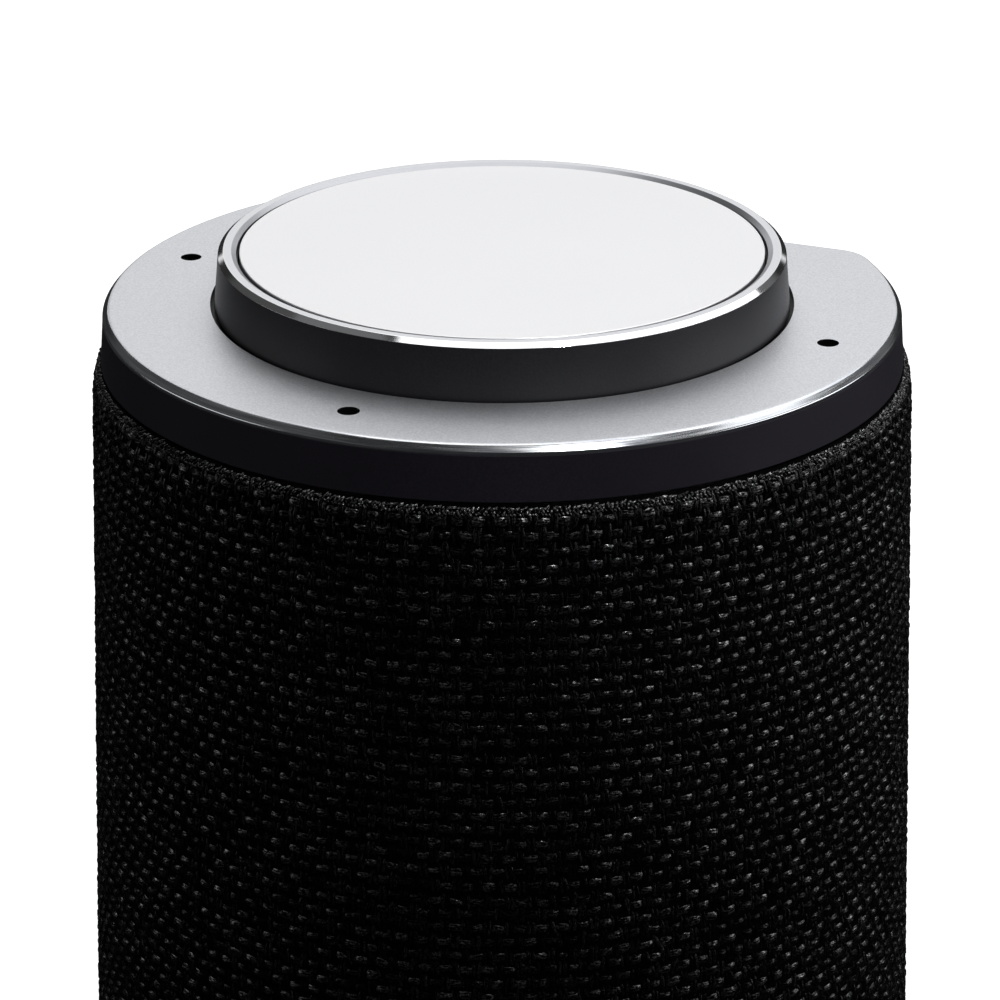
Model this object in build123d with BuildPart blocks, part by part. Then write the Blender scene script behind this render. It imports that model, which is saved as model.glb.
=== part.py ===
"""A conference speakerphone: a fabric-covered tower with a flat back and a large dial on its metal top plate.

Millimetres. +Z is up, the front faces -Y and the flat back faces +Y.
The origin lies on the table, under the dial's axis. The housing stands still.
The dial ring turns, the touch disc inside it presses, and two keys at the back press.
"""

import math
import os

from build123d import *

os.makedirs("parts", exist_ok=True)

# Driving dimensions
TOTAL_HEIGHT = 175.0
PLATE_DROP = 7.45  # the plate's top, below the dial's top land
BAND_HEIGHT = 6.05
PLATE_RADIUS = 54.1
PLATE_FLAT = 37.3  # from the dial's axis to the plate's flat rear edge
PLATE_CHAMFER = 0.8
PLATE_CHAMFER_DROP = 0.9
CORNER_RADIUS = 6.0
SLEEVE_TOP_RADIUS = 55.7
SLEEVE_FLAT = 38.9
SLEEVE_SLOPE = 0.0317  # the fabric leans out by this much for each unit of depth
DISC_TRAVEL = 0.6
KEY_TRAVEL = 0.7

# Levels of the top
PLATE_TOP = TOTAL_HEIGHT - PLATE_DROP
PLATE_THICKNESS = 1.3
PLATE_BOTTOM = PLATE_TOP - PLATE_THICKNESS
BAND_BOTTOM = PLATE_BOTTOM - BAND_HEIGHT
SLEEVE_TOP = BAND_BOTTOM - 0.3
SLEEVE_BOTTOM = 5.0
CHASSIS_FLOOR_TOP = BAND_BOTTOM - 0.3
CHASSIS_FLOOR = 1.7
CHASSIS_BOTTOM = CHASSIS_FLOOR_TOP - CHASSIS_FLOOR

# The dial
DISC_RADIUS = 35.45
DISC_TOP = TOTAL_HEIGHT - 0.25
DISC_THICKNESS = 1.2
DISC_BOTTOM = DISC_TOP - DISC_THICKNESS
LIP_RADIUS = 35.85  # the bezel's inner bevel runs from the land down to here
LIP_DROP = 0.45
LAND_INNER = 36.5
LAND_OUTER = 37.6
DIAL_TOP_RADIUS = 38.35
DIAL_CHAMFER_DROP = 0.6
DIAL_FOOT_RADIUS = 39.0
DIAL_INNER_RADIUS = 37.2
DIAL_FOOT = PLATE_TOP - 0.2
MOAT_RADIUS = 39.55
MOAT_DEPTH = 0.9
HUB_RADIUS = 34.4
HUB_HOLE_RADIUS = 35.0

# The ring gear and the encoder's pinion
GEAR_MODULE = 0.8
RING_TEETH = 78
PINION_TEETH = 13
RING_PITCH_RADIUS = GEAR_MODULE * RING_TEETH / 2
PINION_PITCH_RADIUS = GEAR_MODULE * PINION_TEETH / 2
ENCODER_X = RING_PITCH_RADIUS - PINION_PITCH_RADIUS
GEAR_BOTTOM = CHASSIS_FLOOR_TOP + 2.4
GEAR_HEIGHT = 3.0
TOOTH_REACH = 0.7  # from the pitch circle to a tooth's tip
TIP_SHARE = 0.26
RING_BASE_SHARE = 0.64
PINION_BASE_SHARE = 0.58

# Levels of the dial's bearing, its light ring and its switch
BEARING_BOTTOM = GEAR_BOTTOM + 3.6
BEARING_TOP = BEARING_BOTTOM + 2.9
BEARING_RADIUS = 29.0
RUNNING_CLEARANCE = 0.05
HUB_FLANGE_BOTTOM = BEARING_BOTTOM + 1.4
HUB_FLANGE_TOP = BEARING_TOP - 0.1
RETAINER_TOP = BEARING_TOP + 0.6
HALO_BOARD_TOP = RETAINER_TOP + 0.8
CARRIER_BOTTOM = DISC_BOTTOM - 1.8
STEM_RADIUS = 5.0
STEM_BOTTOM = GEAR_BOTTOM + 1.9
TOWER_RADIUS = 19.0

# Microphones
MIC_CIRCLE = 46.4
MIC_ANGLES = (0.0, 182.0, 268.0)
MIC_HOLE_RADIUS = 1.45
MIC_GASKET_HEIGHT = 1.0
MIC_BOARD_THICKNESS = 0.8
MIC_BOARD_BOTTOM = PLATE_BOTTOM - MIC_GASKET_HEIGHT - MIC_BOARD_THICKNESS
MIC_CAPSULE_HEIGHT = 1.0
MIC_POST_REACH = 4.6
MIC_POST_RADIUS = 1.2

# Speaker core
ENCLOSURE_RADIUS = 47.0
ENCLOSURE_FLAT = 31.0
ENCLOSURE_HALF_WIDTH = 43.0
ENCLOSURE_BOTTOM = 74.0
ENCLOSURE_TOP = 150.0
WALL = 2.5
DRIVER_Y = -8.0
RADIATOR_Y = -6.0
RADIATOR_Z = 114.0
BAY_TOP = 53.0

# Rear panel
PANEL_CENTRE_Z = 31.0
PANEL_WIDTH = 46.0
PANEL_HEIGHT = 42.0
PANEL_CORNER = 4.0
PANEL_FACE = SLEEVE_FLAT - 0.3
PANEL_BACK = PANEL_FACE - 2.0
IO_BOARD_FACE = 21.6
ETHERNET_PLACE = (-12.5, -8.0)
LATCH_PLACE = (-12.5, -12.4)
USB_PLACE = (3.5, -8.0)
DC_PLACE = (15.5, -8.0)
AUDIO_PLACE = (15.5, 6.5)
RESET_PLACE = (6.5, 11.0)
POWER_KEY_PLACE = (-14.5, 11.0)
PAIR_KEY_PLACE = (-2.0, 11.0)
POWER_KEY_RADIUS = 4.0
PAIR_KEY_RADIUS = 3.0


def save(piece, name):
    """Labels a finished piece and writes it as its own STEP file."""
    piece.part.label = name
    export_step(piece.part, f"parts/{name}.step")


def place(radius, angle):
    """The point at that radius and angle round the dial's axis."""
    return (radius * math.cos(math.radians(angle)), radius * math.sin(math.radians(angle)))


def sleeve_radius(height):
    """The fabric's outer radius at a height above the table."""
    return SLEEVE_TOP_RADIUS + SLEEVE_SLOPE * (SLEEVE_TOP - height)


def d_face(height, radius, flat, corner=CORNER_RADIUS):
    """A level D: a circle cut off by the flat at its back, with both corners rounded."""
    with BuildSketch(Plane.XY.offset(height)) as outline:
        Circle(radius)
        with Locations((0, flat + radius)):
            Rectangle(2 * radius, 2 * radius, mode=Mode.SUBTRACT)
        fillet(outline.vertices().sort_by(Axis.Y)[-2:], corner)
    return outline.sketch


def d_loft(sections, mode=Mode.ADD):
    """A solid through level D shapes, each given as (height, radius, flat)."""
    faces = [d_face(height, radius, flat).face() for height, radius, flat in sections]
    loft(faces, ruled=True, mode=mode)


def d_prism(bottom, top, radius, flat, mode=Mode.ADD):
    """An upright solid with a D outline."""
    extrude(d_face(bottom, radius, flat), amount=top - bottom, mode=mode)


def ring(bottom, top, outer, inner=0.0, mode=Mode.ADD):
    """An upright ring or disc round the dial's axis."""
    with BuildSketch(Plane.XY.offset(bottom)) as profile:
        Circle(outer)
        if inner:
            Circle(inner, mode=Mode.SUBTRACT)
    extrude(profile.sketch, amount=top - bottom, mode=mode)


def turned(points, mode=Mode.ADD):
    """A solid turned round the dial's axis from (radius, height) corners."""
    with BuildSketch(Plane.XZ) as profile:
        with BuildLine():
            Polyline(*points, close=True)
        make_face()
    revolve(profile.sketch, axis=Axis.Z, mode=mode)


def level_box(centre, size, mode=Mode.ADD):
    """A box given by the middle of its lower face and its size along X, Y and Z."""
    with BuildSketch(Plane.XY.offset(centre[2])) as profile:
        with Locations((centre[0], centre[1])):
            Rectangle(size[0], size[1])
    extrude(profile.sketch, amount=size[2], mode=mode)


def back_plane(depth, spot=(0.0, 0.0)):
    """A plane facing the back. spot is right and up from the panel's middle, as seen from behind."""
    middle = (-spot[0], depth, PANEL_CENTRE_Z + spot[1])
    return Plane(origin=middle, x_dir=(-1, 0, 0), z_dir=(0, 1, 0))


def back_round(start, end, spot, radius, mode=Mode.ADD):
    """A round length that runs from front to back at a spot on the rear panel."""
    with BuildSketch(back_plane(start, spot)) as profile:
        Circle(radius)
    extrude(profile.sketch, amount=end - start, mode=mode)


def back_block(start, end, spot, width, height, corner=0.0, mode=Mode.ADD):
    """A rectangular length that runs from front to back at a spot on the rear panel."""
    with BuildSketch(back_plane(start, spot)) as profile:
        if corner:
            RectangleRounded(width, height, corner)
        else:
            Rectangle(width, height)
    extrude(profile.sketch, amount=end - start, mode=mode)


def gear_teeth(teeth, base, tip, base_share, tip_share, bottom, height):
    """Straight-flanked teeth from a base radius to a tip radius; a share is part of the pitch."""
    pitch = 2 * math.pi / teeth
    with BuildSketch(Plane.XY.offset(bottom)) as profile:
        for number in range(teeth):
            middle = number * pitch
            half_base = base_share * pitch / 2
            half_tip = tip_share * pitch / 2
            corners = [
                (base, middle - half_base),
                (tip, middle - half_tip),
                (tip, middle + half_tip),
                (base, middle + half_base),
            ]
            with BuildLine():
                Polyline(*[(r * math.cos(a), r * math.sin(a)) for r, a in corners], close=True)
            make_face()
    extrude(profile.sketch, amount=height)


# ---- Top plate, band and chassis ----

CHAMFER_BOTTOM = PLATE_TOP - PLATE_CHAMFER_DROP

with BuildPart() as top_plate:
    d_prism(PLATE_BOTTOM, CHAMFER_BOTTOM, PLATE_RADIUS, PLATE_FLAT)
    d_loft(
        [
            (CHAMFER_BOTTOM, PLATE_RADIUS, PLATE_FLAT),
            (PLATE_TOP, PLATE_RADIUS - PLATE_CHAMFER, PLATE_FLAT - PLATE_CHAMFER),
        ]
    )
    ring(PLATE_TOP - MOAT_DEPTH, PLATE_TOP + 1.0, MOAT_RADIUS, mode=Mode.SUBTRACT)
    ring(PLATE_BOTTOM - 1.0, PLATE_TOP + 1.0, HUB_HOLE_RADIUS, mode=Mode.SUBTRACT)
    with Locations(Plane.XY.offset(PLATE_TOP - MOAT_DEPTH)):
        with Locations([place(MIC_CIRCLE, angle) for angle in MIC_ANGLES]):
            Cylinder(MIC_HOLE_RADIUS, 3 * PLATE_THICKNESS, mode=Mode.SUBTRACT)

PLATE_BOSS_CIRCLE = 48.5
PLATE_BOSS_ANGLES = (22.0, 158.0, 225.0, 315.0)
PLATE_BOSS_SPOTS = [place(PLATE_BOSS_CIRCLE, angle) for angle in PLATE_BOSS_ANGLES]
PLATE_BOSS_RADIUS = 2.2
SCREW_RADIUS = 0.8
SCREW_HEAD_RADIUS = 1.9
SCREW_HEAD_HEIGHT = 1.2
SCREW_SOCKET_RADIUS = 0.8
SCREW_LENGTH = 6.0

with BuildPart() as plate_bosses:
    with BuildSketch(Plane.XY.offset(CHASSIS_FLOOR_TOP)):
        with Locations(PLATE_BOSS_SPOTS):
            Circle(PLATE_BOSS_RADIUS)
            Circle(SCREW_RADIUS, mode=Mode.SUBTRACT)
    extrude(amount=PLATE_BOTTOM - CHASSIS_FLOOR_TOP)

with BuildPart() as plate_screws:
    with BuildSketch(Plane.XY.offset(CHASSIS_BOTTOM - SCREW_HEAD_HEIGHT)):
        with Locations(PLATE_BOSS_SPOTS):
            Circle(SCREW_HEAD_RADIUS)
            RegularPolygon(SCREW_SOCKET_RADIUS, 6, mode=Mode.SUBTRACT)
    extrude(amount=SCREW_HEAD_HEIGHT)
    with BuildSketch(Plane.XY.offset(CHASSIS_BOTTOM - 0.3)):
        with Locations(PLATE_BOSS_SPOTS):
            Circle(SCREW_RADIUS)
    extrude(amount=SCREW_LENGTH)

BAND_FLARE = 0.45
BAND_WALL = 1.2

with BuildPart() as top_band:
    d_loft(
        [
            (BAND_BOTTOM, PLATE_RADIUS + BAND_FLARE, PLATE_FLAT + BAND_FLARE),
            (PLATE_BOTTOM, PLATE_RADIUS, PLATE_FLAT),
        ]
    )
    d_prism(
        BAND_BOTTOM,
        PLATE_BOTTOM,
        PLATE_RADIUS - BAND_WALL,
        PLATE_FLAT - BAND_WALL,
        Mode.SUBTRACT,
    )

CHASSIS_RADIUS = 52.2
CHASSIS_FLAT = 35.5
SKIRT_RADIUS = 44.0
SKIRT_FLAT = 30.5
BEARING_BOSS_SPOTS = [place(15.3, angle) for angle in (60.0, 180.0, 300.0)]

with BuildPart() as top_chassis:
    d_prism(CHASSIS_BOTTOM, CHASSIS_FLOOR_TOP, CHASSIS_RADIUS, CHASSIS_FLAT)
    ring(CHASSIS_FLOOR_TOP, BEARING_BOTTOM, TOWER_RADIUS, TOWER_RADIUS - 1.6)
    with BuildSketch(Plane.XY.offset(CHASSIS_FLOOR_TOP)):
        with Locations(BEARING_BOSS_SPOTS):
            Circle(2.6)
            Circle(SCREW_RADIUS, mode=Mode.SUBTRACT)
    extrude(amount=BEARING_BOTTOM - CHASSIS_FLOOR_TOP)
    d_prism(ENCLOSURE_TOP, CHASSIS_BOTTOM, SKIRT_RADIUS, SKIRT_FLAT)
    d_prism(ENCLOSURE_TOP, CHASSIS_BOTTOM, SKIRT_RADIUS - WALL, SKIRT_FLAT - WALL, Mode.SUBTRACT)
    with BuildSketch(Plane.XY.offset(CHASSIS_BOTTOM)):
        with Locations(PLATE_BOSS_SPOTS):
            Circle(SCREW_RADIUS + 0.05)
    extrude(amount=CHASSIS_FLOOR, mode=Mode.SUBTRACT)
    for mic_angle in MIC_ANGLES:
        with BuildSketch(Plane.XY.offset(CHASSIS_FLOOR_TOP).rotated((0, 0, mic_angle))):
            with Locations((MIC_CIRCLE, -MIC_POST_REACH), (MIC_CIRCLE, MIC_POST_REACH)):
                Circle(MIC_POST_RADIUS)
        extrude(amount=MIC_BOARD_BOTTOM - CHASSIS_FLOOR_TOP)

# ---- Microphones, one group for each kind of piece ----

# Each microphone's pieces are turned to face outwards.
MIC_SPOTS = [Location((*place(MIC_CIRCLE, angle), 0), (0, 0, angle)) for angle in MIC_ANGLES]

with BuildPart() as mic_gaskets:
    with BuildSketch(Plane.XY.offset(PLATE_BOTTOM - MIC_GASKET_HEIGHT)):
        with Locations(MIC_SPOTS):
            Circle(3.2)
            Circle(1.0, mode=Mode.SUBTRACT)
    extrude(amount=MIC_GASKET_HEIGHT)

with BuildPart() as mic_boards:
    with BuildSketch(Plane.XY.offset(MIC_BOARD_BOTTOM)):
        with Locations(MIC_SPOTS):
            Rectangle(6.0, 12.0)
            Circle(0.4, mode=Mode.SUBTRACT)
    extrude(amount=MIC_BOARD_THICKNESS)

with BuildPart() as mic_capsules:
    with BuildSketch(Plane.XY.offset(MIC_BOARD_BOTTOM - MIC_CAPSULE_HEIGHT)):
        with Locations(MIC_SPOTS):
            Rectangle(2.65, 3.5)
    extrude(amount=MIC_CAPSULE_HEIGHT)

# ---- The dial: bezel, ring and hub turn together ----

BEZEL_SEAT = TOTAL_HEIGHT - 0.75
BEZEL_STEP = (DIAL_TOP_RADIUS - 0.25, TOTAL_HEIGHT - 0.85)
LIP_BOTTOM = TOTAL_HEIGHT - 1.9

with BuildPart() as dial_bezel:
    turned(
        [
            (LAND_INNER, TOTAL_HEIGHT),
            (LAND_OUTER, TOTAL_HEIGHT),
            (DIAL_TOP_RADIUS, TOTAL_HEIGHT - DIAL_CHAMFER_DROP),
            BEZEL_STEP,
            (LAND_OUTER - 0.2, BEZEL_SEAT),
            (LIP_RADIUS, BEZEL_SEAT),
            (LIP_RADIUS, TOTAL_HEIGHT - LIP_DROP),
        ]
    )

with BuildPart() as dial_ring:
    turned(
        [
            (LAND_INNER, BEZEL_SEAT),
            (LAND_OUTER - 0.2, BEZEL_SEAT),
            BEZEL_STEP,
            (DIAL_TOP_RADIUS, TOTAL_HEIGHT - DIAL_CHAMFER_DROP),
            (DIAL_FOOT_RADIUS, DIAL_FOOT),
            (HUB_RADIUS, DIAL_FOOT),
            (HUB_RADIUS, DIAL_FOOT + 1.3),
            (DIAL_INNER_RADIUS, DIAL_FOOT + 1.3),
            (DIAL_INNER_RADIUS, LIP_BOTTOM),
            (LAND_INNER, LIP_BOTTOM),
        ]
    )

HUB_WALL_INNER = RING_PITCH_RADIUS + 1.0

with BuildPart() as dial_hub:
    turned(
        [
            (HUB_WALL_INNER, GEAR_BOTTOM),
            (HUB_RADIUS, GEAR_BOTTOM),
            (HUB_RADIUS, HUB_FLANGE_TOP),
            (BEARING_RADIUS + RUNNING_CLEARANCE, HUB_FLANGE_TOP),
            (BEARING_RADIUS + RUNNING_CLEARANCE, HUB_FLANGE_BOTTOM),
            (HUB_WALL_INNER, HUB_FLANGE_BOTTOM),
        ]
    )
    gear_teeth(
        RING_TEETH,
        HUB_WALL_INNER + 0.2,
        RING_PITCH_RADIUS - TOOTH_REACH,
        RING_BASE_SHARE,
        TIP_SHARE,
        GEAR_BOTTOM,
        GEAR_HEIGHT,
    )

with BuildPart() as dial_bearing:
    turned(
        [
            (STEM_RADIUS + 0.06, BEARING_BOTTOM),
            (BEARING_RADIUS + 1.5, BEARING_BOTTOM),
            (BEARING_RADIUS + 1.5, HUB_FLANGE_BOTTOM - 0.1),
            (BEARING_RADIUS, HUB_FLANGE_BOTTOM - 0.1),
            (BEARING_RADIUS, BEARING_TOP),
            (10.0, BEARING_TOP),
            (10.0, BEARING_TOP - 1.6),
            (6.6, BEARING_TOP - 1.6),
            (6.6, BEARING_TOP),
            (STEM_RADIUS + 0.06, BEARING_TOP),
        ]
    )
    with BuildSketch(Plane.XY.offset(BEARING_BOTTOM)):
        with Locations(BEARING_BOSS_SPOTS):
            Circle(SCREW_RADIUS + 0.05)
    extrude(amount=BEARING_TOP - BEARING_BOTTOM, mode=Mode.SUBTRACT)

with BuildPart() as bearing_screws:
    with BuildSketch(Plane.XY.offset(BEARING_TOP)):
        with Locations(BEARING_BOSS_SPOTS):
            Circle(SCREW_HEAD_RADIUS)
            RegularPolygon(SCREW_SOCKET_RADIUS, 6, mode=Mode.SUBTRACT)
    extrude(amount=SCREW_HEAD_HEIGHT)
    with BuildSketch(Plane.XY.offset(BEARING_TOP + 0.3)):
        with Locations(BEARING_BOSS_SPOTS):
            Circle(SCREW_RADIUS)
    extrude(amount=-SCREW_LENGTH - 0.5)

with BuildPart() as bearing_retainer:
    ring(BEARING_TOP, RETAINER_TOP, BEARING_RADIUS + 2.2, 22.0)

# ---- Touch disc, its carrier and its return spring ----

with BuildPart() as touch_disc:
    ring(DISC_BOTTOM, DISC_TOP, DISC_RADIUS)
    chamfer(touch_disc.edges().group_by(Axis.Z)[-1], 0.15)

SENSOR_RADIUS = 30.5
SENSOR_THICKNESS = 0.6

with BuildPart() as touch_sensor:
    ring(DISC_BOTTOM - SENSOR_THICKNESS, DISC_BOTTOM, SENSOR_RADIUS)

with BuildPart() as disc_carrier:
    ring(CARRIER_BOTTOM, DISC_BOTTOM, 33.0)
    ring(DISC_BOTTOM - SENSOR_THICKNESS, DISC_BOTTOM, SENSOR_RADIUS, mode=Mode.SUBTRACT)
    ring(STEM_BOTTOM, CARRIER_BOTTOM, STEM_RADIUS)

SPRING_RADIUS = 8.2
SPRING_WIRE = 0.35
SPRING_SEAT = BEARING_TOP - 1.6
SPRING_MARGIN = SPRING_WIRE + 0.03
SPRING_TURNS = 3.0
SPRING_RISE = CARRIER_BOTTOM - SPRING_SEAT - 2 * SPRING_MARGIN

with BuildPart() as disc_spring:
    with BuildLine() as spring_line:
        Helix(
            pitch=SPRING_RISE / SPRING_TURNS,
            height=SPRING_RISE,
            radius=SPRING_RADIUS,
            center=(0, 0, SPRING_SEAT + SPRING_MARGIN),
        )
    with BuildSketch(Plane(origin=spring_line.line @ 0, z_dir=spring_line.line % 0)):
        Circle(SPRING_WIRE)
    sweep(path=spring_line.line, is_frenet=True)

# ---- Light ring in the gap round the disc ----

GUIDE_INNER = 35.7
GUIDE_OUTER = 36.1
GUIDE_SKIRT = 33.5
GUIDE_FLANGE_BOTTOM = HALO_BOARD_TOP + 0.9
GUIDE_FLANGE_TOP = GUIDE_FLANGE_BOTTOM + 1.0
GUIDE_TOP = TOTAL_HEIGHT - 1.2
HALO_BOARD_RADIUS = GUIDE_SKIRT + 0.6

with BuildPart() as halo_guide:
    turned(
        [
            (GUIDE_SKIRT, GUIDE_FLANGE_BOTTOM),
            (GUIDE_OUTER, GUIDE_FLANGE_BOTTOM),
            (GUIDE_OUTER, GUIDE_TOP),
            (GUIDE_INNER, GUIDE_TOP),
            (GUIDE_INNER, GUIDE_FLANGE_TOP),
            (GUIDE_SKIRT, GUIDE_FLANGE_TOP),
        ]
    )
    ring(HALO_BOARD_TOP, GUIDE_FLANGE_BOTTOM, HALO_BOARD_RADIUS, GUIDE_SKIRT)

with BuildPart() as halo_board:
    ring(RETAINER_TOP, HALO_BOARD_TOP, HALO_BOARD_RADIUS, 22.0)

with BuildPart() as halo_leds:
    with BuildSketch(Plane.XY.offset(HALO_BOARD_TOP)):
        with PolarLocations(32.2, 24):
            Rectangle(1.0, 1.8)
    extrude(amount=0.6)

# ---- Dial electronics inside the tower ----

DIAL_BOARD_TOP = CHASSIS_FLOOR_TOP + 1.2

with BuildPart() as dial_board:
    ring(CHASSIS_FLOOR_TOP, DIAL_BOARD_TOP, TOWER_RADIUS - 6.5)

with BuildPart() as disc_switch:
    level_box((0, 0, DIAL_BOARD_TOP), (6.2, 6.2, 2.2))
    ring(DIAL_BOARD_TOP + 2.2, STEM_BOTTOM - DISC_TRAVEL - 0.1, 1.7)

ENCODER_TOP = GEAR_BOTTOM - 0.2
SHAFT_RADIUS = 1.2

with BuildPart() as encoder_body:
    level_box((ENCODER_X, 0, CHASSIS_FLOOR_TOP), (7.4, 7.4, ENCODER_TOP - CHASSIS_FLOOR_TOP))
    with BuildSketch(Plane.XY.offset(CHASSIS_FLOOR_TOP + 0.5)):
        with Locations((ENCODER_X, 0)):
            Circle(SHAFT_RADIUS + 0.06)
    extrude(amount=3.0, mode=Mode.SUBTRACT)

with BuildPart() as encoder_shaft:
    with BuildSketch(Plane.XY.offset(CHASSIS_FLOOR_TOP + 0.6)):
        with Locations((ENCODER_X, 0)):
            Circle(SHAFT_RADIUS)
    extrude(amount=GEAR_BOTTOM + GEAR_HEIGHT - CHASSIS_FLOOR_TOP - 0.6)

PINION_ROOT = PINION_PITCH_RADIUS - 1.0
PINION_BOTTOM = GEAR_BOTTOM + 0.1
PINION_HEIGHT = GEAR_HEIGHT - 0.2

with BuildPart() as pinion_blank:
    ring(PINION_BOTTOM, PINION_BOTTOM + PINION_HEIGHT, PINION_ROOT, SHAFT_RADIUS)
    gear_teeth(
        PINION_TEETH,
        PINION_ROOT - 0.3,
        PINION_PITCH_RADIUS + TOOTH_REACH,
        PINION_BASE_SHARE,
        TIP_SHARE,
        PINION_BOTTOM,
        PINION_HEIGHT,
    )

# A ring tooth points at the encoder, so the pinion is turned by half a pitch to put a gap there.
with BuildPart() as encoder_gear:
    with Locations(Location((ENCODER_X, 0, 0), (0, 0, 180.0 / PINION_TEETH))):
        add(pinion_blank.part)

# ---- Fabric sleeve on its grille ----

SLEEVE_THICKNESS = 1.3
GRILLE_INSET = SLEEVE_THICKNESS + 0.1
GRILLE_THICKNESS = 2.0


def sleeve_section(height, inset):
    """The fabric's outline at a height, moved inwards."""
    return (height, sleeve_radius(height) - inset, SLEEVE_FLAT - inset)


with BuildPart() as fabric_sleeve:
    d_loft(
        [
            sleeve_section(SLEEVE_BOTTOM, 0.7),
            sleeve_section(SLEEVE_BOTTOM + 1.0, 0.0),
            sleeve_section(SLEEVE_TOP - 1.0, 0.0),
            sleeve_section(SLEEVE_TOP - 0.3, 0.35),
            sleeve_section(SLEEVE_TOP, 0.9),
        ]
    )
    d_loft(
        [
            sleeve_section(SLEEVE_BOTTOM, SLEEVE_THICKNESS),
            sleeve_section(SLEEVE_TOP, SLEEVE_THICKNESS),
        ],
        Mode.SUBTRACT,
    )
    back_block(20.0, 60.0, (0, 0), PANEL_WIDTH, PANEL_HEIGHT, PANEL_CORNER, Mode.SUBTRACT)

SLOT_ROWS = 4
SLOT_FIRST_ROW = 68.0
SLOT_ROW_PITCH = 23.0
SLOT_COLUMNS = 22
SLOT_SPREAD = 250.0
SLOT_START = 270.0 - SLOT_SPREAD / 2
GRILLE_BOTTOM = SLEEVE_BOTTOM + 1.0
GRILLE_TOP = SLEEVE_TOP - 1.0

with BuildPart() as grille_frame:
    d_loft(
        [
            sleeve_section(GRILLE_BOTTOM, GRILLE_INSET),
            sleeve_section(GRILLE_TOP, GRILLE_INSET),
        ]
    )
    d_loft(
        [
            sleeve_section(GRILLE_BOTTOM, GRILLE_INSET + GRILLE_THICKNESS),
            sleeve_section(GRILLE_TOP, GRILLE_INSET + GRILLE_THICKNESS),
        ],
        Mode.SUBTRACT,
    )
    back_block(20.0, 60.0, (0, 0), PANEL_WIDTH, PANEL_HEIGHT, PANEL_CORNER, Mode.SUBTRACT)
    for row in range(SLOT_ROWS):
        with Locations(Plane.XY.offset(SLOT_FIRST_ROW + SLOT_ROW_PITCH * row)):
            with PolarLocations(56.0, SLOT_COLUMNS, SLOT_START, SLOT_SPREAD, endpoint=True):
                Box(12.0, 7.0, 17.0, mode=Mode.SUBTRACT)

# ---- Speaker enclosure, driver and passive radiators ----

with BuildPart() as speaker_enclosure:
    d_prism(ENCLOSURE_BOTTOM, ENCLOSURE_TOP, ENCLOSURE_RADIUS, ENCLOSURE_FLAT)
    level_box((0, 0, 0), (2 * ENCLOSURE_HALF_WIDTH, 200, 200), Mode.INTERSECT)
    d_prism(
        ENCLOSURE_BOTTOM + WALL,
        ENCLOSURE_TOP - WALL,
        ENCLOSURE_RADIUS - WALL,
        ENCLOSURE_FLAT - WALL,
        Mode.SUBTRACT,
    )
    for side in (-1, 1):
        side_wall = (side * (ENCLOSURE_HALF_WIDTH - WALL / 2), 0, ENCLOSURE_BOTTOM)
        level_box(side_wall, (WALL, 2 * ENCLOSURE_FLAT - 2.0, ENCLOSURE_TOP - ENCLOSURE_BOTTOM))
    with Locations((0, DRIVER_Y, ENCLOSURE_BOTTOM)):
        Cylinder(30.6, 3 * WALL, mode=Mode.SUBTRACT)
    with Locations(Location((0, RADIATOR_Y, RADIATOR_Z), (0, 90, 0))):
        Cylinder(20.2, 120, mode=Mode.SUBTRACT)


def driver_plane(height):
    """The upright plane through the driver's axis, with its origin at that height."""
    return Plane(origin=(0, DRIVER_Y, height), x_dir=(1, 0, 0), z_dir=(0, -1, 0))


DRIVER_AXIS = Axis((0, DRIVER_Y, 0), (0, 0, 1))


def driver_turned(points):
    """A solid turned round the driver's axis from (radius, height above the baffle) corners."""
    with BuildSketch(driver_plane(ENCLOSURE_BOTTOM)) as profile:
        with BuildLine():
            Polyline(*points, close=True)
        make_face()
    revolve(profile.sketch, axis=DRIVER_AXIS)


with BuildPart() as woofer_basket:
    driver_turned(
        [
            (28.6, -2.2),
            (35.0, -2.2),
            (35.0, 0.0),
            (30.4, 0.0),
            (30.4, 2.0),
            (19.0, 17.0),
            (19.0, 19.0),
            (12.5, 19.0),
            (12.5, 17.6),
            (17.6, 17.6),
            (28.6, 1.6),
        ]
    )
    with Locations((0, DRIVER_Y, ENCLOSURE_BOTTOM + 9.5)):
        with PolarLocations(25.0, 6):
            Box(14.0, 12.0, 8.0, mode=Mode.SUBTRACT)

with BuildPart() as woofer_surround:
    driver_turned(
        [
            (24.0, -1.6),
            (28.6, -1.6),
            (28.6, -0.8),
            (27.6, -0.4),
            (26.3, 0.6),
            (25.0, -0.4),
            (24.0, -0.8),
        ]
    )

with BuildPart() as woofer_cone:
    driver_turned(
        [
            (24.0, -0.8),
            (25.0, -0.4),
            (24.6, 0.2),
            (10.8, 9.0),
            (9.9, 9.0),
            (9.9, 8.3),
        ]
    )

with BuildPart() as woofer_dust_cap:
    driver_turned(
        [
            (0.0, 5.6),
            (5.5, 6.2),
            (9.9, 8.3),
            (9.9, 9.0),
            (5.2, 6.9),
            (0.0, 6.3),
        ]
    )

with BuildPart() as voice_coil:
    driver_turned([(9.9, 9.0), (10.8, 9.0), (10.8, 26.0), (9.9, 26.0)])

with BuildPart() as woofer_magnet:
    driver_turned([(11.8, 19.0), (20.0, 19.0), (20.0, 29.0), (11.8, 29.0)])

with BuildPart() as woofer_yoke:
    driver_turned(
        [
            (0.0, 20.0),
            (9.0, 20.0),
            (9.0, 29.0),
            (20.0, 29.0),
            (20.0, 32.0),
            (0.0, 32.0),
        ]
    )


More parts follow.
